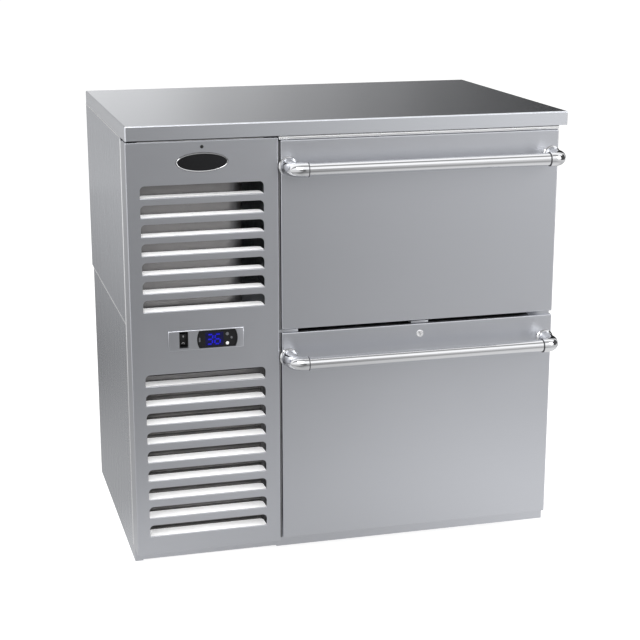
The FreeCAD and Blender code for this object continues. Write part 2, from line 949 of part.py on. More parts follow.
def switch_rocker():
    """Dished rocker on two pivot pins, standing tilted in its lower position."""
    pivot = rocker_pivot()
    half = rocker_half_width()
    low = rocker_half_height()
    back_low = low - rocker_end_depth
    outline = [
        V(-half, -rocker_end_depth, low),
        V(-half, -rocker_middle_depth, 0),
        V(-half, -rocker_end_depth, -low),
        V(-half, 0, -back_low),
        V(-half, rocker_pin_radius * 2, 0),
        V(-half, 0, back_low),
    ]
    body = polygon(outline).extrude(V(2 * half, 0, 0))
    body = rounded(body, rocker_pin_radius / 2,
                   lambda edge: edge_runs(edge, "x") and near(edge.YMin, -rocker_end_depth))
    reach = half + rocker_pin_length
    pins = cylinder(rocker_pin_radius, V(-reach, 0, 0), X_AXIS, 2 * reach)
    rocker = body.fuse(pins).removeSplitter()
    rocker.rotate(V(0, 0, 0), X_AXIS, rocker_tilt)
    return rocker.translated(pivot)


# Drawers

def drawer_pan(bottom, top):
    """Shallow steel front with rounded folds and ends turned in."""
    sheet = pan_sheet
    back = front_setback + pan_edge_depth
    outer = box(drawer_left, drawer_right, front_setback, back, bottom, top)
    outer = rounded(outer, pan_edge_radius,
                    lambda edge: flat_at(edge.YMin, edge.YMax, front_setback) or edge_runs(edge, "y"))
    inside = box(drawer_left + sheet, drawer_right - sheet, front_setback + sheet, back - sheet,
                 bottom + sheet, top - sheet)
    mouth = box(drawer_left + sheet + pan_return, drawer_right - sheet - pan_return, front_setback + sheet,
                back + cut_over, bottom + sheet, top - sheet)
    return outer.cut(inside).cut(mouth)


def upper_drawer_front():
    return drawer_pan(upper_drawer_bottom, upper_drawer_top)


def lower_drawer_front():
    pan = drawer_pan(lower_drawer_bottom, lower_drawer_top)
    hole = cylinder(lock_barrel_radius, V(drawer_middle, front_setback - cut_over, lock_height), Y_AXIS,
                    pan_sheet + 2 * cut_over)
    return pan.cut(hole)


def drawer_core(bottom, top):
    """Moulded insulated block behind the steel front, narrower than it."""
    core = box(drawer_left + core_end_inset, drawer_right - core_end_inset, front_setback + pan_sheet,
               core_back_setback, bottom + core_edge_inset, top - core_edge_inset)
    return rounded(core, core_edge_radius,
                   lambda edge: edge_runs(edge, "y") or flat_at(edge.YMin, edge.YMax, core_back_setback))


def upper_drawer_core():
    return drawer_core(upper_drawer_bottom, upper_drawer_top)


def lower_drawer_core():
    """The lower core also holds the lock's barrel and has an open pocket for the swing of its cam."""
    core = drawer_core(lower_drawer_bottom, lower_drawer_top)
    barrel = cylinder(lock_barrel_radius, V(drawer_middle, front_setback, lock_height), Y_AXIS, lock_length)
    swing = cam_reach + cam_gap
    pocket_back = cam_front + cam_thickness + cam_gap
    pocket = box(drawer_middle - cam_width, drawer_middle + swing, lock_back, pocket_back,
                 lock_height - cam_width, lower_drawer_top)
    return core.cut(barrel).cut(pocket)


def drawer_gasket(bottom, top):
    """Compressed magnetic gasket: a closed ring with a bellows groove round its outside."""
    left = drawer_left + core_end_inset
    right = drawer_right - core_end_inset
    low = bottom + core_edge_inset
    high = top - core_edge_inset
    ring = box(left, right, core_back_setback, frame_setback, low, high)
    inner = box(left + gasket_width, right - gasket_width, core_back_setback - cut_over,
                frame_setback + cut_over, low + gasket_width, high - gasket_width)
    middle = (core_back_setback + frame_setback) / 2
    groove = box(left - cut_over, right + cut_over, middle - gasket_groove / 2, middle + gasket_groove / 2,
                 low - cut_over, high + cut_over)
    kept = box(left + gasket_groove, right - gasket_groove, core_back_setback, frame_setback,
               low + gasket_groove, high - gasket_groove)
    return ring.cut(groove.cut(kept)).cut(inner)


def upper_drawer_gasket():
    return drawer_gasket(upper_drawer_bottom, upper_drawer_top)


def lower_drawer_gasket():
    return drawer_gasket(lower_drawer_bottom, lower_drawer_top)


def handle_seam():
    """Where the tube meets the left post, measured from the cabinet's left side."""
    return drawer_left + post_end_inset + post_bend_radius + post_collar


def handle_tube(drawer_top):
    height = drawer_top - handle_drop
    start = handle_seam() - socket_depth
    length = 2 * (drawer_middle - start)
    tube = cylinder(handle_tube_radius, V(start, handle_axis, height), X_AXIS, length)
    bore = cylinder(handle_tube_radius - handle_tube_wall, V(start - cut_over, handle_axis, height), X_AXIS,
                    length + 2 * cut_over)
    return tube.cut(bore)


def handle_post(drawer_top):
    """Elbow that turns from the tube to the drawer and flares to a round foot on its face."""
    height = drawer_top - handle_drop
    x = drawer_left + post_end_inset
    foot = V(x, front_setback, height)
    bend_start = V(x, handle_axis + post_bend_radius, height)
    flare = foot_radius - post_radius
    rim_y = front_setback - foot_rim
    neck_y = front_setback - foot_height
    rim = V(x + foot_radius, rim_y, height)
    neck = V(x + post_radius, neck_y, height)
    waist = V(x + post_radius + flare * foot_waist_share, (rim_y + neck_y) / 2, height)
    outline = [
        Part.makeLine(foot, V(x + foot_radius, front_setback, height)),
        Part.makeLine(V(x + foot_radius, front_setback, height), rim),
        Part.Arc(rim, waist, neck).toShape(),
        Part.makeLine(neck, V(x, neck_y, height)),
        Part.makeLine(V(x, neck_y, height), foot),
    ]
    flared = Part.Face(Part.Wire(outline)).revolve(foot, Y_AXIS, 360)
    straight = cylinder(post_radius, bend_start, Y_AXIS, front_setback - foot_height - bend_start.y)
    circle = Part.Face(Part.Wire(Part.makeCircle(post_radius, bend_start, Y_AXIS)))
    bend_centre = bend_start + along(X_AXIS, post_bend_radius)
    bend = circle.revolve(bend_centre, Z_AXIS, 90)
    seam = V(handle_seam() - post_collar, handle_axis, height)
    collar = cylinder(post_radius, seam, X_AXIS, post_collar)
    post = fused([flared, straight, bend, collar])
    socket = cylinder(handle_tube_radius + socket_clearance,
                      V(handle_seam() - socket_depth, handle_axis, height), X_AXIS, socket_depth + cut_over)
    return post.cut(socket)


def handle_posts(drawer_top):
    left = handle_post(drawer_top)
    return group([left, drawer_mirrored(left)])


def upper_handle():
    return handle_tube(upper_drawer_top)


def lower_handle():
    return handle_tube(lower_drawer_top)


def upper_handle_posts():
    return handle_posts(upper_drawer_top)


def lower_handle_posts():
    return handle_posts(lower_drawer_top)


def bin_rim_height(opening):
    return opening[1] - bin_rim_drop


def slide_height(opening):
    """The slides' middle: the rails' top carries the rim of the bin."""
    return bin_rim_height(opening) - bin_sheet - rail_half_height()


def middle_half_height():
    return slide_half_height - slide_sheet - slide_gap_up


def rail_half_height():
    return middle_half_height() - slide_sheet - slide_gap_up


def channel(offset, depth, half_height, sheet, front, length, height):
    """Channel on the left wall of the compartment, open towards the bin."""
    left = opening_left + offset
    right = opening_left + depth
    outer = box(left, right, front, front + length, height - half_height, height + half_height)
    inner = box(left + sheet, right + cut_over, front - cut_over, front + length + cut_over,
                height - half_height + sheet, height + half_height - sheet)
    return outer.cut(inner)


def slides_outer(opening):
    front = liner_front + slide_front_gap
    left = channel(0, slide_depth, slide_half_height, slide_sheet, front, slide_length, slide_height(opening))
    return group([left, drawer_mirrored(left)])


def slides_middle(opening):
    offset = slide_sheet + slide_gap_across
    front = liner_front + slide_front_gap
    left = channel(offset, slide_depth, middle_half_height(), slide_sheet, front, slide_length,
                   slide_height(opening))
    return group([left, drawer_mirrored(left)])


def upper_slides_outer():
    return slides_outer(upper_opening)


def lower_slides_outer():
    return slides_outer(lower_opening)


def upper_slides_middle():
    return slides_middle(upper_opening)


def lower_slides_middle():
    return slides_middle(lower_opening)


def drawer_frame(opening):
    """Carrying frame: two side rails that are the slides' inner members, joined in front and behind."""
    offset = 2 * (slide_sheet + slide_gap_across)
    height = slide_height(opening)
    half = rail_half_height()
    left = channel(offset, rail_depth, half, rail_sheet, core_back_setback, rail_length, height)
    right = drawer_mirrored(left)
    inner_left = opening_left + offset
    inner_right = opening_right - offset
    front = box(inner_left, inner_right, core_back_setback, core_back_setback + rail_sheet,
                height - half, height + half)
    back_end = core_back_setback + rail_length
    back = box(inner_left, inner_right, back_end - rail_sheet, back_end, height - half, height + half)
    ledge = box(inner_left, inner_right, back_end - rear_ledge, back_end, height - half,
                height - half + rail_sheet)
    return fused([left, right, front, back, ledge])


def upper_drawer_frame():
    return drawer_frame(upper_opening)


def lower_drawer_frame():
    return drawer_frame(lower_opening)


def bin_shell(opening, inset, bottom, top):
    """Tapered tub with rounded corners, drawn in by the inset on every side."""
    width = opening_right - opening_left - 2 * (bin_side_gap + inset)
    length = bin_length - 2 * inset
    middle = V(drawer_middle, core_back_setback + bin_front_gap + bin_length / 2, 0)
    radius = bin_corner_radius - inset
    low = rounded_rectangle(width - 2 * bin_taper, length - 2 * bin_taper, radius, middle + V(0, 0, bottom))
    high = rounded_rectangle(width, length, radius, middle + V(0, 0, top))
    return Part.makeLoft([low, high], True, True)


def drawer_bin(opening):
    """Deep tub that hangs by its rim on the rails of the carrying frame."""
    rim_top = bin_rim_height(opening)
    bottom = opening[0] + bin_floor_gap
    tub = bin_shell(opening, 0, bottom, rim_top)
    tub = rounded(tub, bin_floor_radius, lambda edge: flat_at(edge.ZMin, edge.ZMax, bottom))
    hollow = bin_shell(opening, bin_sheet, bottom + bin_sheet, rim_top)
    hollow = rounded(hollow, bin_floor_radius - bin_sheet,
                     lambda edge: flat_at(edge.ZMin, edge.ZMax, bottom + bin_sheet))
    width = opening_right - opening_left - 2 * (bin_side_gap - bin_rim)
    middle = V(drawer_middle, core_back_setback + bin_front_gap + bin_length / 2, rim_top - bin_sheet)
    rim = Part.Face(rounded_rectangle(width, bin_length + 2 * bin_rim, bin_corner_radius + bin_rim, middle))
    rim = rim.extrude(V(0, 0, bin_sheet))
    return tub.fuse(rim).cut(hollow).removeSplitter()


def upper_drawer_bin():
    return drawer_bin(upper_opening)


def lower_drawer_bin():
    return drawer_bin(lower_opening)


# Lock

def lock_barrel():
    """Flanged housing through the lower drawer's front, bored for the plug."""
    flange_start = V(drawer_middle, front_setback - lock_flange_height, lock_height)
    flange = cylinder(lock_flange_radius, flange_start, Y_AXIS, lock_flange_height)
    flange = rounded(flange, lock_flange_height / 2,
                     lambda edge: flat_at(edge.YMin, edge.YMax, flange_start.y))
    barrel = cylinder(lock_barrel_radius, V(drawer_middle, front_setback, lock_height), Y_AXIS, lock_length)
    bore = cylinder(lock_plug_radius + lock_clearance, flange_start - along(Y_AXIS, cut_over), Y_AXIS,
                    lock_flange_height + lock_length + 2 * cut_over)
    return flange.fuse(barrel).cut(bore).removeSplitter()


def lock_plug():
    """Turning plug with a slanted keyway in its face."""
    face = front_setback - lock_flange_height
    back = cam_front + cam_thickness
    plug = cylinder(lock_plug_radius, V(drawer_middle, face, lock_height), Y_AXIS, back - face)
    centre = V(drawer_middle, face, lock_height)
    keyway = box(centre.x - lock_keyway_length / 2, centre.x + lock_keyway_length / 2, face - cut_over,
                 face + lock_keyway_depth, centre.z - lock_keyway_width / 2, centre.z + lock_keyway_width / 2)
    keyway.rotate(centre, Y_AXIS, lock_keyway_angle)
    return plug.cut(keyway)


def lock_cam():
    """Arm on the plug's back end, lying to the right while the drawer is unlocked."""
    start = V(drawer_middle, cam_front, lock_height)
    eye = cylinder(lock_plug_radius + cam_thickness, start, Y_AXIS, cam_thickness)
    arm = box(start.x, start.x + cam_reach - cam_width / 2, cam_front, cam_front + cam_thickness,
              start.z - cam_width / 2, start.z + cam_width / 2)
    tip = cylinder(cam_width / 2, start + V(cam_reach - cam_width / 2, 0, 0), Y_AXIS, cam_thickness)
    hole = cylinder(lock_plug_radius, start - along(Y_AXIS, cut_over), Y_AXIS, cam_thickness + 2 * cut_over)
    return fused([eye, arm, tip]).cut(hole)


def lock_strike():
    """Angle on the cross rail whose lip hangs in front of the raised cam."""
    left = drawer_middle - strike_width / 2
    right = drawer_middle + strike_width / 2
    top = upper_drawer_bottom + core_edge_inset - strike_gap
    bottom = lower_drawer_top - core_edge_inset + strike_lip_gap
    front = frame_setback - strike_projection
    plate = box(left, right, front, frame_setback, top - strike_sheet, top)
    lip = box(left, right, front, front + strike_sheet, bottom, top)
    foot = box(left, right, frame_setback - strike_sheet, frame_setback, bottom, top)
    return fused([plate, lip, foot])


# Fans

def fan_blade(root_radius, tip_radius, root_chord, tip_chord):
    """One twisted blade along +X, lofted between a root and a tip section."""
    sections = []
    stations = ((root_radius, root_chord, fan_root_pitch), (tip_radius, tip_chord, fan_tip_pitch))
    for radius, chord, pitch in stations:
        half_chord = chord / 2
        half_thickness = fan_blade_thickness / 2
        corners = [V(radius, -half_thickness, -half_chord), V(radius, half_thickness, -half_chord),
                   V(radius, half_thickness, half_chord), V(radius, -half_thickness, half_chord)]
        wire = Part.makePolygon(corners + [corners[0]])
        wire.rotate(V(radius, 0, 0), X_AXIS, -pitch)
        sections.append(wire)
    return Part.makeLoft(sections, True, True)


def fan(centre, radius, hub_radius, hub_depth, root_chord, tip_chord, shaft_radius):
    """Hub with a rounded nose and twisted blades, bored for the motor's shaft from behind."""
    hub = cylinder(hub_radius, centre - along(Y_AXIS, hub_depth / 2), Y_AXIS, hub_depth)
    nose = centre.y - hub_depth / 2
    hub = rounded(hub, hub_depth * hub_round_share, lambda edge: flat_at(edge.YMin, edge.YMax, nose))
    blades = []
    for index in range(fan_blade_count):
        blade = fan_blade(hub_radius - fan_blade_thickness, radius, root_chord, tip_chord)
        blade.translate(centre)
        blade.rotate(centre, Y_AXIS, index * 360 / fan_blade_count)
        blades.append(blade)
    wheel = fused([hub] + blades)
    bore = cylinder(shaft_radius + shaft_clearance, centre, Y_AXIS, hub_depth)
    return wheel.cut(bore)


def fan_motor(centre, hub_depth, radius, depth, shaft_radius, gap, arm_reach, mount_y):
    """Motor behind a fan: case, shaft into the hub, and an arm up and down to the sheet that holds it."""
    front = centre.y + hub_depth / 2 + gap
    case = cylinder(radius, V(centre.x, front, centre.z), Y_AXIS, depth)
    case = rounded(case, radius * motor_round_share, lambda edge: flat_at(edge.YMin, edge.YMax, front)
                   or flat_at(edge.YMin, edge.YMax, front + depth))
    shaft = cylinder(shaft_radius, V(centre.x, centre.y + shaft_clearance, centre.z), Y_AXIS,
                     hub_depth / 2 + gap + depth / 2)
    arms = []
    arm_back = front + depth / 2
    half = motor_arm_width / 2
    for side in (-1, 1):
        reach = centre.z + side * arm_reach
        inner = centre.z + side * radius / 2
        low, high = sorted((inner, reach))
        arms.append(box(centre.x - half, centre.x + half, arm_back, arm_back + motor_arm_sheet, low, high))
        leg_low, leg_high = sorted((reach, reach - side * motor_arm_sheet))
        leg_front, leg_back = sorted((mount_y, arm_back + motor_arm_sheet))
        arms.append(box(centre.x - half, centre.x + half, leg_front, leg_back, leg_low, leg_high))
    return fused([case, shaft] + arms)


def condenser_fan_centre():
    return V(coil_left + coil_width / 2, fan_setback, base_height + coil_height / 2)


def condenser_fan():
    return fan(condenser_fan_centre(), fan_radius, fan_hub_radius, fan_hub_depth, fan_root_chord,
               fan_tip_chord, motor_shaft_radius)


def shroud_back():
    return coil_setback + coil_depth + shroud_depth


def condenser_fan_motor():
    arm_reach = fan_radius + 2 * shroud_hole_clearance + motor_arm_width
    return fan_motor(condenser_fan_centre(), fan_hub_depth, motor_radius, motor_depth, motor_shaft_radius,
                     fan_motor_gap, arm_reach, shroud_back())


def condenser_shroud():
    """Box open to the coil in front, with the fan's round hole and its short collar behind."""
    front = coil_setback + coil_depth
    back = shroud_back()
    right = coil_left + coil_width
    top = base_height + coil_height
    outer = box(coil_left, right, front, back, base_height, top)
    inner = box(coil_left + shroud_sheet, right - shroud_sheet, front - cut_over, back - shroud_sheet,
                base_height + shroud_sheet, top - shroud_sheet)
    centre = condenser_fan_centre()
    hole_radius = fan_radius + shroud_hole_clearance
    collar = cylinder(hole_radius + shroud_sheet, V(centre.x, back - shroud_depth / 2, centre.z), Y_AXIS,
                      shroud_depth / 2)
    hole = cylinder(hole_radius, V(centre.x, front, centre.z), Y_AXIS, shroud_depth + cut_over)
    return outer.cut(inner).fuse(collar).cut(hole).removeSplitter()


# Coils and lines

def serpentine(left, right, y, bottom, pitch, passes, radius):
    """A tube that runs to and fro across the coil, with a half-turn bend at each end."""
    pieces = []
    for index in range(passes):
        height = bottom + index * pitch
        pieces.append(cylinder(radius, V(left, y, height), X_AXIS, right - left))
    for index in range(passes - 1):
        height = bottom + index * pitch
        at_right = index % 2 == 0
        x = right if at_right else left
        circle = Part.Face(Part.Wire(Part.makeCircle(radius, V(x, y, height), X_AXIS)))
        turn = -180 if at_right else 180
        pieces.append(circle.revolve(V(x, y, height + pitch / 2), Y_AXIS, turn))
    return pieces


def finned_coil(left, width, front, depth, bottom, height, fins, passes, row_inset, radius):
    """Plate fins between two end plates, on one row of horizontal tube passes."""
    pitch_across = (width - 2 * row_inset - coil_plate) / (fins - 1)
    plates = []
    for index in range(fins):
        x = left + row_inset + index * pitch_across
        ends = index in (0, fins - 1)
        sheet = coil_plate if ends else coil_fin
        inset = 0 if ends else coil_fin
        plates.append(box(x, x + sheet, front + inset, front + depth - inset, bottom, bottom + height))
    passes_pitch = height / passes
    first = bottom + passes_pitch / 2
    tubes = serpentine(left + row_inset, left + width - row_inset, front + depth / 2, first, passes_pitch,
                       passes, radius)
    coil = tubes[0].fuse(tubes[1:])
    return coil.fuse(plates)


def condenser_coil():
    return finned_coil(coil_left, coil_width, coil_setback, coil_depth, base_height, coil_height,
                       coil_fin_count, coil_pass_count, coil_row_inset, coil_tube_radius)


def compressor_centre():
    return V(compressor_left, compressor_setback, base_height + grommet_height)


def compressor_feet_places():
    centre = compressor_centre()
    reach = compressor_foot_reach - compressor_foot_width / 2
    places = []
    for angle in (45, 135, 225, 315):
        x = centre.x + reach * math.cos(math.radians(angle))
        y = centre.y + reach * math.sin(math.radians(angle))
        places.append(V(x, y, base_height))
    return places


def compressor_shell():
    """Two drawn cups welded together."""
    centre = compressor_centre()
    low = centre.z + compressor_foot_sheet
    high = centre.z + compressor_height
    radius = compressor_radius
    dome = compressor_dome
    axis_low = V(centre.x, centre.y, low)
    axis_high = V(centre.x, centre.y, high)
    wall_low = V(centre.x + radius, centre.y, low + dome)
    wall_high = V(centre.x + radius, centre.y, high - dome)
    crown = compressor_crown_radius
    crown_low = V(centre.x + crown, centre.y, low)
    crown_high = V(centre.x + crown, centre.y, high)
    bulge = math.sqrt(0.5)
    shoulder = crown + (radius - crown) * bulge
    low_middle = V(centre.x + shoulder, centre.y, low + dome * (1 - bulge))
    high_middle = V(centre.x + shoulder, centre.y, high - dome * (1 - bulge))
    outline = [
        Part.makeLine(axis_low, crown_low),
        Part.Arc(crown_low, low_middle, wall_low).toShape(),
        Part.makeLine(wall_low, wall_high),
        Part.Arc(wall_high, high_middle, crown_high).toShape(),
        Part.makeLine(crown_high, axis_high),
        Part.makeLine(axis_high, axis_low),
    ]
    return Part.Face(Part.Wire(outline)).revolve(axis_low, Z_AXIS, 360)


def compressor():
    """The shell with its seam band, on a cross of feet with round bushes."""
    centre = compressor_centre()
    seam = V(centre.x, centre.y, centre.z + (compressor_foot_sheet + compressor_height) / 2)
    band = cylinder(compressor_radius + compressor_flange, seam, Z_AXIS, compressor_band)
    feet = []
    half = compressor_foot_width / 2
    for turn in (45, 135):
        foot = box(centre.x - compressor_foot_reach, centre.x + compressor_foot_reach, centre.y - half,
                   centre.y + half, centre.z, centre.z + compressor_foot_sheet)
        foot.rotate(centre, Z_AXIS, turn)
        feet.append(foot)
    seat = cylinder(compressor_seat_radius, centre, Z_AXIS, compressor_dome / 2)
    grommets = []
    for place in compressor_feet_places():
        grommets.append(cylinder(grommet_radius, place, Z_AXIS, grommet_height))
    return fused([compressor_shell(), band, seat] + feet + grommets)


def drier_top():
    return V(coil_left + coil_width - pipe_radius * 2, compressor_setback - compressor_radius, coil_height)


def filter_drier():
    """Upright copper filter drier with coned necks in the liquid line."""
    top = drier_top()
    bottom = top - along(Z_AXIS, drier_length)
    straight = drier_length - 2 * drier_neck
    body = cylinder(drier_radius, bottom + along(Z_AXIS, drier_neck), Z_AXIS, straight)
    low = Part.makeCone(pipe_radius, drier_radius, drier_neck, bottom, Z_AXIS)
    high = Part.makeCone(drier_radius, pipe_radius, drier_neck, top - along(Z_AXIS, drier_neck), Z_AXIS)
    return fused([low, body, high])


def coil_end(passes_index):
    """The open end of the condenser tube on its left plate."""
    pitch = coil_height / coil_pass_count
    height = base_height + pitch / 2 + passes_index * pitch
    return V(coil_left + coil_row_inset, coil_setback + coil_depth / 2, height)


def refrigerant_lines():
    """Discharge, liquid and suction tubes; the filter drier is brazed into the liquid line."""
    centre = compressor_centre()
    middle = centre.z + compressor_height / 2
    side_x = coil_left - pipe_radius * 3
    top_end = coil_end(coil_pass_count - 1)
    discharge_z = middle + compressor_dome
    discharge = pipe([
        V(centre.x - compressor_radius, centre.y, discharge_z),
        V(side_x, centre.y, discharge_z),
        V(side_x, top_end.y, discharge_z),
        V(side_x, top_end.y, top_end.z),
        top_end,
    ], pipe_bend_radius, pipe_radius)
    low_end = coil_end(0)
    floor_z = base_height + pipe_bend_radius * 2 + pipe_radius
    drier_low = drier_top() - along(Z_AXIS, drier_length)
    liquid_y = centre.y - compressor_foot_reach - pipe_bend_radius
    liquid = pipe([
        low_end,
        V(side_x, low_end.y, low_end.z),
        V(side_x, liquid_y, low_end.z),
        V(drier_low.x, liquid_y, low_end.z),
        V(drier_low.x, liquid_y, floor_z + pipe_bend_radius * 2),
        V(drier_low.x, drier_low.y, floor_z + pipe_bend_radius * 2),
        drier_low,
    ], pipe_bend_radius, pipe_radius)
    outlet = drier_top()
    feed = pipe([
        outlet,
        V(outlet.x, outlet.y, outlet.z + feed_rise),
        V(grille_width, outlet.y, outlet.z + feed_rise),
    ], pipe_bend_radius / 2, pipe_radius)
    suction_y = centre.y + compressor_radius / 2
    suction_start = math.sqrt(compressor_radius ** 2 - (compressor_radius / 2) ** 2)
    suction_x = centre.x + compressor_radius + compressor_flange + pipe_bend_radius
    suction_z = middle + compressor_dome
    suction_out = base_height + coil_height
    suction = pipe([
        V(centre.x + suction_start, suction_y, suction_z),
        V(suction_x, suction_y, suction_z),
        V(suction_x, suction_y, suction_out),
        V(grille_width, suction_y, suction_out),
    ], suction_radius * 2, suction_radius)
    liquid_line = fused([liquid, filter_drier(), feed])
    shell = compressor_shell()
    return group([discharge.cut(shell), liquid_line, suction.cut(shell)])


def condensate_pan():
    """Open moulded tray on the floor pan that the cooler's melt water drains to."""
    middle = V(pan_left + pan_width / 2, pan_front + pan_depth / 2, base_height)
    outer = Part.Face(rounded_rectangle(pan_width, pan_depth, pan_corner_radius, middle))
    outer = outer.extrude(V(0, 0, pan_height))
    inner = Part.Face(rounded_rectangle(pan_width - 2 * pan_wall, pan_depth - 2 * pan_wall,
                                        pan_corner_radius - pan_wall, middle + V(0, 0, pan_wall)))
    inner = inner.extrude(V(0, 0, pan_height))
    return outer.cut(inner)


def electrical_box():
    """Wiring box on the partition, with an overlapping front cover."""
    right = grille_width
    left = right - electrical_width
    back = electrical_setback + electrical_depth
    top = electrical_lift + electrical_height
    body = box(left, right, electrical_setback, back, electrical_lift, top)
    body = rounded(body, electrical_radius, lambda edge: edge_runs(edge, "y") and near(edge.XMin, left))
    cover = box(left - electrical_lip, right, electrical_setback, electrical_setback + electrical_cover,
                electrical_lift - electrical_lip, top + electrical_lip)
    cover = rounded(cover, electrical_radius,
                    lambda edge: edge_runs(edge, "y") and near(edge.XMin, left - electrical_lip))
    return body.fuse(cover).removeSplitter()


# Evaporator

def cover_bounds():
    """Left, right, front, bottom and top of the evaporator's cover."""
    left = opening_left + cover_side_gap
    right = opening_right - cover_side_gap
    front = liner_back_setback - cover_depth
    return left, right, front, upper_opening[0] + cover_bottom_lift, upper_opening[1] - cover_top_gap


def evaporator_fan_centre():
    left, right, front, bottom, top = cover_bounds()
    y = front + cover_sheet + small_fan_setback + small_fan_hub_depth / 2
    return V(drawer_middle, y, (bottom + top) / 2)


def evaporator_cover():
    """Shell open to the liner's back, with the fan's hole and return slots at both ends."""
    left, right, front, bottom, top = cover_bounds()
    sheet = cover_sheet
    outer = box(left, right, front, liner_back_setback, bottom, top)
    outer = rounded(outer, cover_edge_radius, lambda edge: flat_at(edge.YMin, edge.YMax, front))
    inner = box(left + sheet, right - sheet, front + sheet, liner_back_setback + cut_over,
                bottom + sheet, top - sheet)
    inner = rounded(inner, cover_edge_radius - sheet,
                    lambda edge: flat_at(edge.YMin, edge.YMax, front + sheet))
    centre = evaporator_fan_centre()
    hole = cylinder(small_fan_radius + shroud_hole_clearance, V(centre.x, front - cut_over, centre.z), Y_AXIS,
                    sheet + 2 * cut_over)
    slots = []
    for index in range(cover_slot_count):
        height = centre.z + (index - (cover_slot_count - 1) / 2) * cover_slot_pitch - cover_slot_height / 2
        for start in (left + cover_slot_inset, right - cover_slot_inset - cover_slot_width):
            slot = box(start, start + cover_slot_width, front - cut_over, front + sheet + cut_over, height,
                       height + cover_slot_height)
            slots.append(rounded(slot, cover_slot_height * round_end_share,
                                 lambda edge: edge_runs(edge, "y")))
    return outer.cut(inner).cut([hole] + slots)


def evaporator_coil():
    left, right, front, bottom, top = cover_bounds()
    start = left + evaporator_side_gap
    width = right - left - 2 * evaporator_side_gap
    low = (bottom + top) / 2 - evaporator_height / 2
    return finned_coil(start, width, liner_back_setback - evaporator_depth, evaporator_depth, low,
                       evaporator_height, evaporator_fin_count, evaporator_pass_count,
                       evaporator_row_inset, coil_tube_radius)


def evaporator_fan():
    return fan(evaporator_fan_centre(), small_fan_radius, small_fan_hub_radius, small_fan_hub_depth,
               small_fan_root_chord, small_fan_tip_chord, small_shaft_radius)


def evaporator_fan_motor():
    left, right, front, bottom, top = cover_bounds()
    arm_reach = small_fan_radius + 2 * shroud_hole_clearance + motor_arm_width
    return fan_motor(evaporator_fan_centre(), small_fan_hub_depth, small_motor_radius, small_motor_depth,
                     small_shaft_radius, small_motor_gap, arm_reach, front + cover_sheet)


pieces = {
    "worktop": worktop,
    "worktop_core": worktop_core,
    "left_side_upper": left_side_upper,
    "left_side_lower": left_side_lower,
    "right_side_upper": lambda: mirrored(left_side_upper()),
    "right_side_lower": lambda: mirrored(left_side_lower()),
    "back_panel_upper": back_panel_upper,
    "back_panel_lower": back_panel_lower,
    "cord_bushing": cord_bushing,
    "base_pan": base_pan,
    "toe_rail": toe_rail,
    "face_frame": face_frame,
    "inner_liner": inner_liner,
    "partition_skin": partition_skin,
    "insulation": insulation,
    "grille_panel": grille_panel,
    "badge_plate": badge_plate,
    "control_plate": control_plate,
    "controller_body": controller_body,
    "controller_lens": controller_lens,
    "up_key": up_key,
    "down_key": down_key,
    "set_key": set_key,
    "power_key": power_key,
    "switch_body": switch_body,
    "switch_rocker": switch_rocker,
    "upper_drawer_front": upper_drawer_front,
    "upper_drawer_core": upper_drawer_core,
    "upper_drawer_gasket": upper_drawer_gasket,
    "upper_handle": upper_handle,
    "upper_handle_posts": upper_handle_posts,
    "upper_drawer_frame": upper_drawer_frame,
    "upper_drawer_bin": upper_drawer_bin,
    "upper_slides_outer": upper_slides_outer,
    "upper_slides_middle": upper_slides_middle,
    "lower_drawer_front": lower_drawer_front,
    "lower_drawer_core": lower_drawer_core,
    "lower_drawer_gasket": lower_drawer_gasket,
    "lower_handle": lower_handle,
    "lower_handle_posts": lower_handle_posts,
    "lower_drawer_frame": lower_drawer_frame,
    "lower_drawer_bin": lower_drawer_bin,
    "lower_slides_outer": lower_slides_outer,
    "lower_slides_middle": lower_slides_middle,
    "lock_barrel": lock_barrel,
    "lock_plug": lock_plug,
    "lock_cam": lock_cam,
    "lock_strike": lock_strike,
    "condenser_coil": condenser_coil,
    "condenser_shroud": condenser_shroud,
    "condenser_fan": condenser_fan,
    "condenser_fan_motor": condenser_fan_motor,
    "compressor": compressor,
    "refrigerant_lines": refrigerant_lines,
    "condensate_pan": condensate_pan,
    "electrical_box": electrical_box,
    "evaporator_cover": evaporator_cover,
    "evaporator_coil": evaporator_coil,
    "evaporator_fan": evaporator_fan,
    "evaporator_fan_motor": evaporator_fan_motor,
}

os.makedirs("parts", exist_ok=True)
for name, make in pieces.items():
    shape = make()
    shape.translate(V(-origin.x, -origin.y, 0))
    shape.exportStep(f"parts/{name}.step")
    print(name, len(shape.Solids), shape.isValid(), round(shape.Volume / 1000, 1), "cm3")
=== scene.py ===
import json
import math

import bmesh
import bpy
from mathutils import Matrix, Vector


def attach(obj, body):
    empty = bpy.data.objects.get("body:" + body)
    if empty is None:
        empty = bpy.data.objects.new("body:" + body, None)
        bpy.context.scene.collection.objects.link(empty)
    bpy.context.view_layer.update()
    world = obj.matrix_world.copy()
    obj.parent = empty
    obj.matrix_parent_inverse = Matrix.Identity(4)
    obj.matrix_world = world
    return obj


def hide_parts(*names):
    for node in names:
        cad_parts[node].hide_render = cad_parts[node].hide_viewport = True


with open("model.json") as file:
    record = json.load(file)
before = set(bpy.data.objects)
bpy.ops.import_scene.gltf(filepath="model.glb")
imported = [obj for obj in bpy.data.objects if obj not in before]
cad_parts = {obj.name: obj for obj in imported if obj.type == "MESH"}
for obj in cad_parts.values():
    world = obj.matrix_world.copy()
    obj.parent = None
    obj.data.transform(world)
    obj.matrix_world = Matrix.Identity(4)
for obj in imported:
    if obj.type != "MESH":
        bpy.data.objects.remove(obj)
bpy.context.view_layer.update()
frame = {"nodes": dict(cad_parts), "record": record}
print("frame loaded,", len(frame["nodes"]), "nodes")

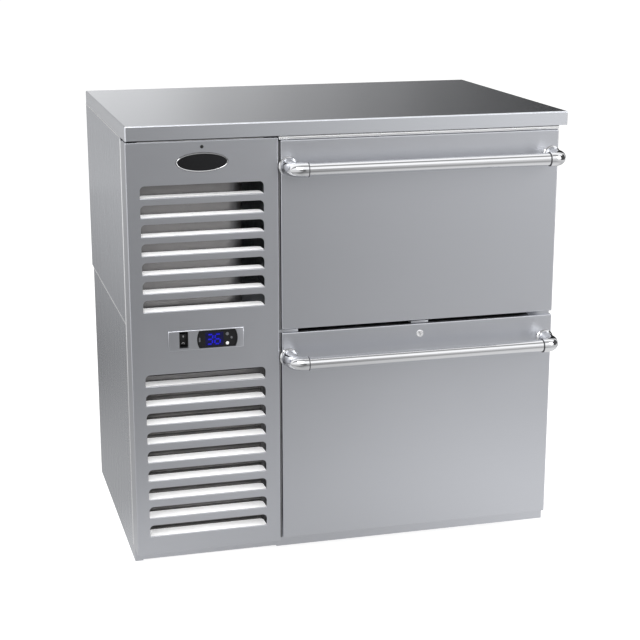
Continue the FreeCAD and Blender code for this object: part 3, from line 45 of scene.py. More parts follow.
# New pieces are drawn in millimetres from the cabinet's left side, the lip's front and the floor.
# Points nearer than weld are one point, and edges sharper than sharp (degrees) stay crisp.
drawing = {"unit": 0.001, "shift": (-457.2, -281.875, 0.0), "weld": 0.001, "sharp": 35.0}
toPart = Matrix.Scale(drawing["unit"], 4) @ Matrix.Translation(drawing["shift"])
quarterTurn = math.radians(90)
fullTurn = math.radians(360)
facingFront = Matrix.Rotation(quarterTurn, 4, "X")  # stands a flat form upright, face to the front


# Materials: each finish is one function with its own numbers above it; depths are in metres

def startMaterial(name, colour, metallic, roughness):
    material = bpy.data.materials.new(name)
    material.use_nodes = True
    shader = material.node_tree.nodes["Principled BSDF"]
    shader.inputs["Base Color"].default_value = (*colour, 1)
    shader.inputs["Metallic"].default_value = metallic
    shader.inputs["Roughness"].default_value = roughness
    return material, shader


def addNoise(material, scale, detail=4.0, harshness=0.55):
    tree = material.node_tree
    place = tree.nodes.new("ShaderNodeTexCoord")
    stretch = tree.nodes.new("ShaderNodeMapping")
    stretch.inputs["Scale"].default_value = scale
    noise = tree.nodes.new("ShaderNodeTexNoise")
    noise.inputs["Scale"].default_value = 1.0
    noise.inputs["Detail"].default_value = detail
    noise.inputs["Roughness"].default_value = harshness
    tree.links.new(place.outputs["Object"], stretch.inputs["Vector"])
    tree.links.new(stretch.outputs["Vector"], noise.inputs["Vector"])
    return noise.outputs["Fac"]


def remap(material, source, low, high, fromLow=0.3, fromHigh=0.7):
    tree = material.node_tree
    node = tree.nodes.new("ShaderNodeMapRange")
    node.inputs["From Min"].default_value = fromLow
    node.inputs["From Max"].default_value = fromHigh
    node.inputs["To Min"].default_value = low
    node.inputs["To Max"].default_value = high
    tree.links.new(source, node.inputs["Value"])
    return node.outputs["Result"]


def mixColours(material, factor, first, second):
    tree = material.node_tree
    mix = tree.nodes.new("ShaderNodeMix")
    mix.data_type = "RGBA"
    for socket, colour in ((mix.inputs[6], first), (mix.inputs[7], second)):
        if isinstance(colour, tuple):
            socket.default_value = (*colour, 1)
        else:
            tree.links.new(colour, socket)
    tree.links.new(factor, mix.inputs[0])
    return mix.outputs[2]


def combine(material, operation, first, second):
    tree = material.node_tree
    node = tree.nodes.new("ShaderNodeMath")
    node.operation = operation
    for socket, value in ((node.inputs[0], first), (node.inputs[1], second)):
        if isinstance(value, (int, float)):
            socket.default_value = value
        else:
            tree.links.new(value, socket)
    return node.outputs["Value"]


def objectAxes(material):
    tree = material.node_tree
    place = tree.nodes.new("ShaderNodeTexCoord")
    split = tree.nodes.new("ShaderNodeSeparateXYZ")
    tree.links.new(place.outputs["Object"], split.inputs["Vector"])
    return split.outputs


def addBump(material, shader, height, strength, distance):
    tree = material.node_tree
    bump = tree.nodes.new("ShaderNodeBump")
    bump.inputs["Strength"].default_value = strength
    bump.inputs["Distance"].default_value = distance
    tree.links.new(height, bump.inputs["Height"])
    tree.links.new(bump.outputs["Normal"], shader.inputs["Normal"])


def scaled(colour, amount):
    return tuple(min(channel * amount, 1.0) for channel in colour)


def shadeColour(material, shader, mask, colour, shades):
    # The mask runs the colour from its darker shade to its lighter one
    dark, light = (scaled(colour, share) for share in shades)
    material.node_tree.links.new(mixColours(material, mask, dark, light), shader.inputs["Base Color"])


def varyRoughness(material, shader, mask, roughness, shares, fromLow=0.3, fromHigh=0.7):
    low, high = (roughness * share for share in shares)
    varied = remap(material, mask, low, high, fromLow, fromHigh)
    material.node_tree.links.new(varied, shader.inputs["Roughness"])


brushing = {"streak": 0.015, "wear": 0.03, "wornShade": 0.8, "spread": 0.08, "bump": 0.02,
            "bumpDepth": 0.0001, "strokeNoise": (3.0, 0.6), "clouds": (3, 3, 3), "cloudNoise": (3.0, 0.5)}


def brushedSteel(name, colour, roughness, grain, anisotropy, axis, turn=0.0):
    material, shader = startMaterial(name, colour, 1.0, roughness)
    tree = material.node_tree
    shader.inputs["Anisotropic"].default_value = anisotropy
    shader.inputs["Anisotropic Rotation"].default_value = turn
    tangent = tree.nodes.new("ShaderNodeTangent")
    tangent.direction_type = "RADIAL"
    tangent.axis = axis
    tree.links.new(tangent.outputs["Tangent"], shader.inputs["Tangent"])
    strokes = addNoise(material, grain, *brushing["strokeNoise"])
    clouds = addNoise(material, brushing["clouds"], *brushing["cloudNoise"])
    streak, spread = brushing["streak"], brushing["spread"]
    streaked = mixColours(material, remap(material, strokes, 0, 1), scaled(colour, 1 - streak),
                          scaled(colour, 1 + streak))
    worn = mixColours(material, remap(material, clouds, 0, brushing["wear"]), streaked,
                      scaled(colour, brushing["wornShade"]))
    rough = remap(material, strokes, roughness * (1 - spread), roughness * (1 + spread))
    tree.links.new(worn, shader.inputs["Base Color"])
    tree.links.new(rough, shader.inputs["Roughness"])
    addBump(material, shader, strokes, brushing["bump"], brushing["bumpDepth"])
    return material, shader, worn, rough


sheeting = {"patch": (0.2, 0.8), "roughness": (0.8, 1.2), "pores": (300, 300, 300), "bump": 0.05,
            "bumpDepth": 0.0002}


def sheetMetal(name, colour, roughness, scale, contrast):
    material, shader = startMaterial(name, colour, 1.0, roughness)
    tree = material.node_tree
    spangle = tree.nodes.new("ShaderNodeTexVoronoi")
    spangle.inputs["Scale"].default_value = scale
    place = tree.nodes.new("ShaderNodeTexCoord")
    tree.links.new(place.outputs["Object"], spangle.inputs["Vector"])
    grey = tree.nodes.new("ShaderNodeRGBToBW")
    tree.links.new(spangle.outputs["Color"], grey.inputs["Color"])
    patch = remap(material, grey.outputs["Val"], 0, 1, *sheeting["patch"])
    shadeColour(material, shader, patch, colour, (1 - contrast, 1 + contrast))
    varyRoughness(material, shader, patch, roughness, sheeting["roughness"], 0, 1)
    addBump(material, shader, addNoise(material, sheeting["pores"]), sheeting["bump"], sheeting["bumpDepth"])
    return material


polishing = {"lineNoise": (2.0, 0.5), "film": (9, 9, 9), "filmNoise": (3.0, 0.5), "roughness": (0.7, 1.5),
             "shades": (0.96, 1.02)}


def polishedMetal(name, colour, roughness, grain=(30, 900, 900)):
    material, shader = startMaterial(name, colour, 1.0, roughness)
    lines = addNoise(material, grain, *polishing["lineNoise"])
    film = addNoise(material, polishing["film"], *polishing["filmNoise"])
    varyRoughness(material, shader, film, roughness, polishing["roughness"])
    shadeColour(material, shader, remap(material, lines, 0, 1), colour, polishing["shades"])
    return material


moulded = {"coatRoughness": 0.08, "poreDetail": 2.0, "film": (14, 14, 14), "filmDetail": 4.0,
           "shades": (0.8, 1.25), "roughness": (0.8, 1.2), "bumpDepth": 0.0003}


def moulding(name, colour, roughness, texture=900, depth=0.1, coat=0.0, gloss=0.3):
    material, shader = startMaterial(name, colour, 0.0, roughness)
    shader.inputs["Specular IOR Level"].default_value = gloss
    shader.inputs["Coat Weight"].default_value = coat
    shader.inputs["Coat Roughness"].default_value = moulded["coatRoughness"]
    pores = addNoise(material, (texture, texture, texture), moulded["poreDetail"])
    film = addNoise(material, moulded["film"], moulded["filmDetail"])
    shadeColour(material, shader, remap(material, film, 0, 1), colour, moulded["shades"])
    varyRoughness(material, shader, film, roughness, moulded["roughness"])
    addBump(material, shader, pores, depth, moulded["bumpDepth"])
    return material


foaming = {"roughness": 0.9, "cells": (260, 260, 260), "noise": (5.0, 0.7), "shades": (0.82, 1.06),
           "bump": 0.4, "bumpDepth": 0.001}
boarding = {"roughness": 0.75, "cells": (30, 160, 500), "noise": (6.0, 0.65), "shades": (0.7, 1.15),
            "bump": 0.3, "bumpDepth": 0.0005}


def coreFilling(name, colour, values):
    # Foam has round cells, board has long fibres
    material, shader = startMaterial(name, colour, 0.0, values["roughness"])
    cells = addNoise(material, values["cells"], *values["noise"])
    shadeColour(material, shader, remap(material, cells, 0, 1), colour, values["shades"])
    addBump(material, shader, cells, values["bump"], values["bumpDepth"])
    return material


tarnishing = {"spots": (40, 40, 40), "noise": (5.0, 0.6), "shades": (0.6, 1.0), "even": 0.3,
              "roughness": (0.45, 0.25)}


def drawnCopper(name, colour):
    material, shader = startMaterial(name, colour, 1.0, tarnishing["even"])
    tarnish = addNoise(material, tarnishing["spots"], *tarnishing["noise"])
    shadeColour(material, shader, remap(material, tarnish, 0, 1), colour, tarnishing["shades"])
    rough = remap(material, tarnish, *tarnishing["roughness"])
    material.node_tree.links.new(rough, shader.inputs["Roughness"])
    return material


window = {"roughness": 0.15, "gloss": 0.3, "haze": (90, 90, 130), "hazeDetail": 2.0, "dim": 0.75,
          "shades": (0.8, 1.2)}


def litWindow(name, colour, light, glow):
    material, shader = startMaterial(name, colour, 0.0, window["roughness"])
    shader.inputs["Specular IOR Level"].default_value = window["gloss"]
    shader.inputs["Emission Strength"].default_value = glow
    haze = remap(material, addNoise(material, window["haze"], window["hazeDetail"]), 0, 1)
    lit = mixColours(material, haze, scaled(light, window["dim"]), light)
    material.node_tree.links.new(lit, shader.inputs["Emission Color"])
    shadeColour(material, shader, haze, colour, window["shades"])
    return material


# Colour and roughness of each brushed surface, and the run of its grain
steel = {
    "front": ((0.585, 0.598, 0.635), 0.33),
    "top": ((0.765, 0.785, 0.83), 0.24),
    "side": ((0.585, 0.603, 0.645), 0.26),
    # The upper side skins are a lighter copy of the side steel: painted light
    "sideUpperPaintedLight": ((0.625, 0.643, 0.688), 0.26),
    "bin": ((0.66, 0.67, 0.68), 0.28),
    "grainAcross": (14, 900, 4200),
    "grainUp": (4200, 900, 14),
    "grainTop": (14, 4200, 900),
    "acrossTurn": 0.25,
}
# The painted light on the louvre tabs begins behind the sheet's front, between the left and right ends of the
# louvres
louvrePaintedLight = {"colour": (0.96, 0.96, 0.96), "roughness": 0.45, "metallic": 0.1, "soft": 1.2, "glow": 0.36,
               "start": (25.5, 6.4), "end": (273.0, 7.6), "anisotropy": 0.5}


def grilleSteel():
    # The bent tabs of the louvres get painted light: a near-white, less metallic face that glows a little
    material, shader, worn, rough = brushedSteel("grilleSteel", *steel["front"], steel["grainAcross"],
                                                 louvrePaintedLight["anisotropy"], "Z", steel["acrossTurn"])
    tree = material.node_tree
    axes = objectAxes(material)
    left, front = (toPart @ Vector((*louvrePaintedLight["start"], 0)))[:2]
    right, back = (toPart @ Vector((*louvrePaintedLight["end"], 0)))[:2]
    soft = louvrePaintedLight["soft"] * drawing["unit"]
    paintedTabMask = remap(material, axes["Y"], 0, 1, front, back)
    paintedTabMask = combine(material, "MULTIPLY", paintedTabMask, remap(material, axes["X"], 0, 1, left - soft, left))
    paintedTabMask = combine(material, "MULTIPLY", paintedTabMask, remap(material, axes["X"], 1, 0, right, right + soft))
    # Painted highlight and glow: the tabs turn near-white and less metallic and emit light, though they are
    # no lamp
    tree.links.new(mixColours(material, paintedTabMask, worn, louvrePaintedLight["colour"]), shader.inputs["Base Color"])
    tree.links.new(remap(material, paintedTabMask, 1.0, louvrePaintedLight["metallic"], 0, 1), shader.inputs["Metallic"])
    tree.links.new(remap(material, paintedTabMask, 0, louvrePaintedLight["glow"]), shader.inputs["Emission Strength"])
    shader.inputs["Emission Color"].default_value = (1, 1, 1, 1)
    shine = mixColours(material, paintedTabMask, rough, (louvrePaintedLight["roughness"],) * 3)
    tree.links.new(shine, shader.inputs["Roughness"])
    return material


finishes = {
    "stainless_top": brushedSteel("worktopSteel", *steel["top"], steel["grainTop"], 0.5, "X",
                                  steel["acrossTurn"])[0],
    "stainless_panel": grilleSteel(),
    "stainless_frame": brushedSteel("frameSteel", *steel["front"], steel["grainAcross"], 0.3, "Z",
                                    steel["acrossTurn"])[0],
    "bin_steel": brushedSteel("binSteel", *steel["bin"], steel["grainTop"], 0.2, "Z")[0],
    "galvanised": sheetMetal("galvanisedSheet", (0.55, 0.57, 0.58), 0.42, 90, 0.16),
    "liner_aluminium": sheetMetal("linerAluminium", (0.78, 0.79, 0.8), 0.36, 400, 0.05),
    "coil_fins": polishedMetal("coilFins", (0.62, 0.64, 0.66), 0.38, (900, 60, 60)),
    "polished_metal": polishedMetal("handleChrome", (0.67, 0.675, 0.69), 0.05),
    "lock_brass": polishedMetal("lockNickel", (0.6, 0.59, 0.57), 0.2, (500, 500, 500)),
    "foam": coreFilling("cabinetFoam", (0.8, 0.7, 0.46), foaming),
    "core_board": coreFilling("coreBoard", (0.66, 0.66, 0.67), boarding),
    "black_moulding": moulding("blackMoulding", (0.009, 0.009, 0.010), 0.5),
    "black_gloss": moulding("blackGloss", (0.009, 0.009, 0.010), 0.35, 600, 0.03),
    "black_rubber": moulding("blackRubber", (0.012, 0.012, 0.013), 0.7, 500, 0.15),
    "key_grey": moulding("keyGrey", (0.11, 0.112, 0.12), 0.42, 700, 0.08),
    "display_blue": litWindow("displayWindow", (0.006, 0.006, 0.02), (0.02, 0.02, 0.3), 0.12),
    "badge_black": moulding("badgeGloss", (0.008, 0.008, 0.009), 0.3, 500, 0.02),
    "black_paint": moulding("blackEnamel", (0.012, 0.012, 0.012), 0.38, 250, 0.12, 0.2),
    "grey_paint": moulding("greyEnamel", (0.16, 0.165, 0.175), 0.42, 250, 0.12),
    "copper": drawnCopper("drawnCopper", (0.72, 0.36, 0.22)),
    "fan_plastic": moulding("fanPlastic", (0.05, 0.05, 0.055), 0.45, 400, 0.1),
}

# Finishes of the pieces that are made below, and of nodes that differ from the rest of their slot
# Far lighter than the skins' steel: the hems, beads and head strip carry painted highlights
trimSteelPaintedHighlight = polishedMetal("trimSteelPaintedHighlight", (0.92, 0.925, 0.93), 0.28)
# Grey of the strip in the gap beside the drawers: painted shade
gapShadePaint = moulding("gapShadePaint", (0.16, 0.16, 0.165), 0.6, 600, 0.05)
baffleSteel = sheetMetal("baffleSteel", (0.24, 0.235, 0.235), 0.5, 30, 0.06)
filterMesh = moulding("filterMesh", (0.20, 0.195, 0.19), 0.75, 420, 0.5)
markPaint = moulding("markPaint", (0.62, 0.62, 0.63), 0.5, 800, 0.05)
digitGlow = litWindow("digitGlow", (0.005, 0.005, 0.05), (0.008, 0.008, 0.62), 1.0)
sideSteel = brushedSteel("sideSteel", *steel["side"], steel["grainUp"], 0.4, "Z")[0]
# Lighter copy of the side steel for the upper skins: painted light
upperSideSteelPaintedLight = brushedSteel("upperSideSteelPaintedLight", *steel["sideUpperPaintedLight"], steel["grainUp"], 0.4, "Z")[0]
ownFinish = {
    "left_side_upper": upperSideSteelPaintedLight,
    "left_side_lower": sideSteel,
    "right_side_upper": upperSideSteelPaintedLight,
    "right_side_lower": sideSteel,
    # The lock's barrel and plug are a pale non-metal that paints the metal lock's bright face: painted
    # highlight
    "lock_barrel": moulding("lockBarrelPaintedHighlight", (0.76, 0.76, 0.77), 0.3, 500, 0.05, 0.3),
    "lock_plug": moulding("lockPlugPaintedHighlight", (0.68, 0.68, 0.69), 0.3, 500, 0.05, 0.3),
    # The down key's near-white stands in for a highlight on it: painted highlight
    "down_key": moulding("downKeyPaintedHighlight", (0.85, 0.85, 0.86), 0.4, 700, 0.05),
}

for part in frame["record"]["subparts"]:
    node = frame["nodes"][part["node"]]
    finish = ownFinish.get(part["node"], finishes[part["material_slot"]])
    node.data.materials.clear()
    node.data.materials.append(finish)
print("finishes on all nodes")


# Making pieces

def edgesOf(geom):
    return [item for item in geom if isinstance(item, bmesh.types.BMEdge)]


def vertsOf(geom):
    return [item for item in geom if isinstance(item, bmesh.types.BMVert)]


def facesOf(geom):
    return [item for item in geom if isinstance(item, bmesh.types.BMFace)]


def finishPiece(name, shape, material, body, replaced=(), sharpAngle=drawing["sharp"]):
    bmesh.ops.remove_doubles(shape, verts=shape.verts, dist=drawing["weld"])
    bmesh.ops.recalc_face_normals(shape, faces=shape.faces)
    bmesh.ops.transform(shape, matrix=toPart, verts=shape.verts)
    mesh = bpy.data.meshes.new(name)
    shape.to_mesh(mesh)
    shape.free()
    mesh.materials.append(material)
    mesh.polygons.foreach_set("use_smooth", [True] * len(mesh.polygons))
    mesh.set_sharp_from_angle(angle=math.radians(sharpAngle))
    piece = bpy.data.objects.new(name, mesh)
    bpy.context.scene.collection.objects.link(piece)
    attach(piece, body)
    if replaced:
        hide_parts(*replaced)


def startRing(shape, radius, matrix, segments):
    ring = bmesh.ops.create_circle(shape, segments=segments, radius=radius, matrix=matrix)
    return list({edge for vert in ring["verts"] for edge in vert.link_edges})


def nextRing(shape, edges, shift=(0, 0, 0), growth=1.0, about=(0, 0, 0)):
    grown = bmesh.ops.extrude_edge_only(shape, edges=edges)["geom"]
    verts = vertsOf(grown)
    stretch = growth if isinstance(growth, tuple) else (growth, growth, growth)
    bmesh.ops.scale(shape, vec=stretch, space=Matrix.Translation(-Vector(about)), verts=verts)
    bmesh.ops.translate(shape, vec=shift, verts=verts)
    return edgesOf(grown)


def copyMirrored(shape, middle):
    # Adds the same form again, mirrored left to right about the given line
    twin = bmesh.ops.duplicate(shape, geom=shape.verts[:] + shape.edges[:] + shape.faces[:])["geom"]
    bmesh.ops.scale(shape, vec=(-1, 1, 1), space=Matrix.Translation((-middle, 0, 0)), verts=vertsOf(twin))


# Handles: a bar between two elbows with flared feet, and at each seam a black ring that marks the collar's
# end and paints the seam's shadow line

handle = {"middle": 602.75, "postX": 322.1, "face": 5.0, "axisY": -47.5, "barRadius": 12.7, "wall": 3.0,
          "postRadius": 14.75, "footRadius": 19.2, "rim": 1.2, "footHeight": 9.0, "flare": 2.2,
          "flareRings": 9, "bend": 21.0, "bendSteps": 20, "seam": 348.6, "edge": 0.5, "socket": 5.0,
          "socketFit": 0.05, "shadeRingInner": 12.8,
          "shadeRingProfile": ((14.4, 0.0), (14.6, 0.3), (14.6, 1.2), (14.2, 1.6), (12.8, 1.6)),
          "segments": 72, "sharp": 28.0, "levels": {"upper": 824.2, "lower": 430.7}}


def handleEnds(level, height):
    shape = bmesh.new()
    x, face = handle["postX"], handle["face"]
    post, foot = handle["postRadius"], handle["footRadius"]
    stand = Matrix.Translation((x, face, height)) @ facingFront
    edges = startRing(shape, foot, stand, handle["segments"])
    bmesh.ops.edgeloop_fill(shape, edges=edges)
    radius, y = foot, face
    # Each step is a radius and its distance to the front; the foot narrows along a curve
    steps = [(foot, face - handle["rim"] + handle["edge"]), (foot - handle["edge"], face - handle["rim"])]
    flareLength = handle["footHeight"] - handle["rim"]
    for index in range(1, handle["flareRings"] + 1):
        share = index / handle["flareRings"]
        ringRadius = post + (foot - handle["edge"] - post) * (1 - share) ** handle["flare"]
        steps.append((ringRadius, face - handle["rim"] - flareLength * share))
    bendStart = handle["axisY"] + handle["bend"]
    steps.append((post, bendStart))
    for ringRadius, ringY in steps:
        edges = nextRing(shape, edges, (0, ringY - y, 0), ringRadius / radius, (x, y, height))
        radius, y = ringRadius, ringY
    turned = bmesh.ops.spin(shape, geom=edges, cent=(x + handle["bend"], bendStart, height), axis=(0, 0, 1),
                            angle=quarterTurn, steps=handle["bendSteps"], use_merge=False)["geom_last"]
    edges = edgesOf(turned)
    place = x + handle["bend"]
    edge, seam, bore = handle["edge"], handle["seam"], handle["barRadius"] + handle["socketFit"]
    steps = [(post, seam - edge), (post - edge, seam), (bore, seam), (bore, seam - handle["socket"])]
    for ringRadius, ringX in steps:
        edges = nextRing(shape, edges, (ringX - place, 0, 0), ringRadius / radius,
                         (place, handle["axisY"], height))
        radius, place = ringRadius, ringX
    bmesh.ops.edgeloop_fill(shape, edges=edges)
    copyMirrored(shape, handle["middle"])
    finishPiece(f"{level}_handle_elbows", shape, finishes["polished_metal"], f"{level}_drawer",
                [f"{level}_handle_posts"], handle["sharp"])


def handleBar(level, height):
    shape = bmesh.new()
    outer, inner = handle["barRadius"], handle["barRadius"] - handle["wall"]
    start, middle = handle["seam"] - handle["socket"], handle["middle"]
    half = [(start, inner), (start, outer)]
    outline = half + [(2 * middle - x, radius) for x, radius in reversed(half)]
    verts = [shape.verts.new((x, handle["axisY"], height + radius)) for x, radius in outline]
    edges = [shape.edges.new((verts[index - 1], verts[index])) for index in range(len(verts))]
    bmesh.ops.spin(shape, geom=verts + edges, cent=(middle, handle["axisY"], height), axis=(1, 0, 0),
                   angle=fullTurn, steps=handle["segments"], use_merge=True)
    finishPiece(f"{level}_handle_bar", shape, finishes["polished_metal"], f"{level}_drawer",
                [f"{level}_handle"], handle["sharp"])


# Black rings at the seams: the collar's end with its painted shadow line
def handleSeamShadeRings(level, height):
    shape = bmesh.new()
    start = Matrix.Translation((handle["seam"], handle["axisY"], height))
    stand = start @ Matrix.Rotation(quarterTurn, 4, "Y")
    first = startRing(shape, handle["shadeRingInner"], stand, handle["segments"])
    edges, radius, place = first, handle["shadeRingInner"], handle["seam"]
    for ringRadius, along in handle["shadeRingProfile"]:
        edges = nextRing(shape, edges, (handle["seam"] + along - place, 0, 0), ringRadius / radius,
                         (place, handle["axisY"], height))
        radius, place = ringRadius, handle["seam"] + along
    bmesh.ops.bridge_loops(shape, edges=first + edges)
    copyMirrored(shape, handle["middle"])
    finishPiece(f"{level}_handle_seam_shade_rings", shape, finishes["fan_plastic"], f"{level}_drawer")


for level, height in handle["levels"].items():
    handleEnds(level, height)
    handleBar(level, height)
    handleSeamShadeRings(level, height)
print("handles made")


# Louvre backing: a curled steel baffle above the controls and a pleated air filter below them

baffle = {"left": 16.0, "bend": 198.0, "front": 54.0, "radius": 48.0, "tail": 20.0, "bottom": 512.0,
          "top": 872.0, "sheet": 0.8, "steps": 10}


def isUpright(edge):
    return abs(edge.verts[0].co.x - edge.verts[1].co.x) < drawing["weld"]


def makeBaffle():
    shape = bmesh.new()
    ends = [shape.verts.new((baffle["left"], baffle["front"], baffle[end])) for end in ("bottom", "top")]
    edges = [shape.edges.new(ends)]
    edges = nextRing(shape, edges, (baffle["bend"] - baffle["left"], 0, 0))
    edges = [edge for edge in edges if isUpright(edge)]
    centre = (baffle["bend"], baffle["front"] + baffle["radius"], 0)
    turned = bmesh.ops.spin(shape, geom=edges, cent=centre, axis=(0, 0, 1), angle=quarterTurn,
                            steps=baffle["steps"], use_merge=False)["geom_last"]
    nextRing(shape, edgesOf(turned), (0, baffle["tail"], 0))
    bmesh.ops.remove_doubles(shape, verts=shape.verts, dist=drawing["weld"])
    bmesh.ops.recalc_face_normals(shape, faces=shape.faces)
    bmesh.ops.solidify(shape, geom=shape.faces[:], thickness=baffle["sheet"])
    finishPiece("louvre_baffle", shape, baffleSteel, "cabinet")


def rectangleLoop(shape, left, right, bottom, top, y, cuts=0, bow=0.0):
    # Edges of an upright rectangle, its two ends bowed outward where a bow is given
    grid = bmesh.ops.create_grid(shape, x_segments=1, y_segments=1, size=0.5)["verts"]
    faces = list({face for vert in grid for face in vert.link_faces})
    bmesh.ops.delete(shape, geom=faces, context="FACES_ONLY")
    bmesh.ops.rotate(shape, cent=(0, 0, 0), matrix=facingFront.to_3x3(), verts=grid)
    bmesh.ops.scale(shape, vec=(right - left, 1, top - bottom), verts=grid)
    bmesh.ops.translate(shape, vec=((left + right) / 2, y, (bottom + top) / 2), verts=grid)
    edges = list({edge for vert in grid for edge in vert.link_edges})
    if cuts:
        upright = [edge for edge in edges if isUpright(edge)]
        flat = [edge for edge in edges if edge not in upright]
        parted = bmesh.ops.subdivide_edges(shape, edges=upright, cuts=cuts)["geom"]
        edges = list(set(flat + upright + edgesOf(parted)))
        for vert in {vert for edge in edges for vert in edge.verts}:
            height = (vert.co.z - bottom) / (top - bottom) * 2 - 1
            vert.co.x += math.copysign(bow * (1 - height * height), vert.co.x - (left + right) / 2)
    return edges


def framedPlate(shape, outer, holes, depth):
    # Fills the outer loop round its holes and gives the face its depth to the back
    filled = bmesh.ops.triangle_fill(shape, use_beauty=True, use_dissolve=False, normal=(0, -1, 0),
                                     edges=outer + [edge for hole in holes for edge in hole])["geom"]
    back = bmesh.ops.extrude_face_region(shape, geom=facesOf(filled))["geom"]
    bmesh.ops.translate(shape, vec=(0, depth, 0), verts=vertsOf(back))


airFilter = {"left": 17.0, "right": 283.0, "front": 58.0, "back": 70.0, "bottom": 34.0, "top": 397.0,
             "rim": 9.0, "pleats": 46, "meshFront": 60.0, "meshBack": 67.0, "meshSheet": 0.6, "sharp": 15.0}


def makeFilter():
    shape = bmesh.new()
    box = (airFilter["left"], airFilter["right"], airFilter["bottom"], airFilter["top"])
    rim = airFilter["rim"]
    outer = rectangleLoop(shape, *box, airFilter["front"])
    inner = rectangleLoop(shape, box[0] + rim, box[1] - rim, box[2] + rim, box[3] - rim, airFilter["front"])
    framedPlate(shape, outer, [inner], airFilter["back"] - airFilter["front"])
    finishPiece("air_filter_rim", shape, baffleSteel, "cabinet")
    shape = bmesh.new()
    rows = airFilter["pleats"] * 2
    bmesh.ops.create_grid(shape, x_segments=1, y_segments=rows, size=0.5)
    bmesh.ops.rotate(shape, cent=(0, 0, 0), matrix=facingFront.to_3x3(), verts=shape.verts)
    width, height = box[1] - box[0] - 2 * rim, box[3] - box[2] - 2 * rim
    bmesh.ops.scale(shape, vec=(width, 1, height), verts=shape.verts)
    pitch = height / rows
    for vert in shape.verts:
        row = round((vert.co.z + height / 2) / pitch)
        vert.co.y = airFilter["meshFront"] if row % 2 else airFilter["meshBack"]
    bmesh.ops.translate(shape, vec=((box[0] + box[1]) / 2, 0, (box[2] + box[3]) / 2), verts=shape.verts)
    bmesh.ops.solidify(shape, geom=shape.faces[:], thickness=airFilter["meshSheet"])
    finishPiece("air_filter_mesh", shape, filterMesh, "cabinet", (), airFilter["sharp"])


makeBaffle()
makeFilter()
print("louvre backing made")


# Control cover: a raised plate round the rocker switch and the controller

cover = {"left": 74.2, "right": 228.1, "bottom": 461.2, "top": 502.8, "front": 3.0, "back": 8.7, "round": 1.7,
         "roundSteps": 4, "controller": (132.2, 215.3, 464.0, 500.3), "bow": 4.5, "bowCuts": 9,
         "switch": (96.4, 114.5, 466.8, 500.7), "sharp": 50.0}


def makeCover():
    shape = bmesh.new()
    outer = rectangleLoop(shape, cover["left"], cover["right"], cover["bottom"], cover["top"], cover["front"])
    left, right, bottom, top = cover["controller"]
    bowed = rectangleLoop(shape, left + cover["bow"], right - cover["bow"], bottom, top, cover["front"],
                          cover["bowCuts"], cover["bow"])
    plain = rectangleLoop(shape, *cover["switch"], cover["front"])
    framedPlate(shape, outer, [bowed, plain], cover["back"] - cover["front"])
    edges = []
    for edge in shape.edges:  # the outer edges of the front are rounded
        ends = [vert.co for vert in edge.verts]
        onFront = all(abs(end.y - cover["front"]) < drawing["weld"] for end in ends)
        for axis, sides in ((0, ("left", "right")), (2, ("bottom", "top"))):
            onSide = any(all(abs(end[axis] - cover[side]) < drawing["weld"] for end in ends)
                         for side in sides)
            if onFront and onSide:
                edges.append(edge)
    bmesh.ops.bevel(shape, geom=edges, offset=cover["round"], offset_type="OFFSET",
                    segments=cover["roundSteps"], profile=0.5, affect="EDGES", material=-1)
    finishPiece("control_cover", shape, finishes["stainless_frame"], "cabinet", (),
                cover["sharp"])


makeCover()


# Display digits, switch marks and the badge's rim

digits = {"text": ("3", "6"), "left": 153.0, "pitch": 15.6, "bottom": 470.9, "width": 10.6, "height": 19.6,
          "bar": 2.8, "gap": 0.35, "front": 5.85, "depth": 0.15, "lean": 0.08,
          "lit": {"3": "abcdg", "6": "acdefg"}}
marks = {"pivot": (105.45, 18.5, 483.75), "tilt": 9.0, "face": -7.35, "onHeight": 7.0, "offHeight": -8.5,
         "bar": (1.3, 5.2), "ring": 2.7, "ringWidth": 1.0, "ringSegments": 28, "depth": 0.12}
badge = {"centre": (150.0, 839.6), "halfWidth": 52.25, "halfHeight": 19.5, "segments": 96,
         "profile": ((0.5, 3.9), (0.6, 3.1), (1.1, 2.75), (2.0, 2.75), (2.6, 3.1), (2.7, 3.6))}


def addBar(shape, length, width, turn, place, depth, lean=0.0):
    # A flat bar with pointed ends, drawn from a hexagon whose two tips lie on its middle line
    bar = bmesh.ops.create_circle(shape, cap_ends=True, segments=6, radius=1.0)["verts"]
    for vert in bar:
        if abs(vert.co.y) < drawing["weld"]:
            vert.co.x = math.copysign(length / 2, vert.co.x)
        else:
            vert.co.x = math.copysign(length / 2 - width / 2, vert.co.x)
            vert.co.y = math.copysign(width / 2, vert.co.y)
    grown = bmesh.ops.extrude_face_region(shape, geom=[bar[0].link_faces[0]])["geom"]
    bmesh.ops.translate(shape, vec=(0, 0, depth), verts=vertsOf(grown))
    verts = bar + vertsOf(grown)
    bmesh.ops.rotate(shape, cent=(0, 0, 0), matrix=Matrix.Rotation(turn, 3, "Z"), verts=verts)
    bmesh.ops.rotate(shape, cent=(0, 0, 0), matrix=facingFront.to_3x3(), verts=verts)
    bmesh.ops.translate(shape, vec=place, verts=verts)
    for vert in verts:
        vert.co.x += lean * (vert.co.z - digits["bottom"])


def makeDigits():
    shape = bmesh.new()
    width, height, bar = digits["width"], digits["height"], digits["bar"]
    half = height / 2
    # Length and turn of each bar, and its place in widths and half heights
    across, upright = (width - digits["gap"], 0.0), (half - digits["gap"], quarterTurn)
    segments = {"a": (*across, 0.5, 2), "b": (*upright, 1, 1.5), "c": (*upright, 1, 0.5),
                "d": (*across, 0.5, 0), "e": (*upright, 0, 0.5), "f": (*upright, 0, 1.5),
                "g": (*across, 0.5, 1)}
    for index, character in enumerate(digits["text"]):
        left = digits["left"] + index * digits["pitch"]
        for name in digits["lit"][character]:
            length, turn, shareX, shareZ = segments[name]
            place = (left + shareX * width, digits["front"] + digits["depth"],
                     digits["bottom"] + shareZ * half)
            addBar(shape, length, bar, turn, place, digits["depth"], digits["lean"])
    finishPiece("display_digits", shape, digitGlow, "cabinet")


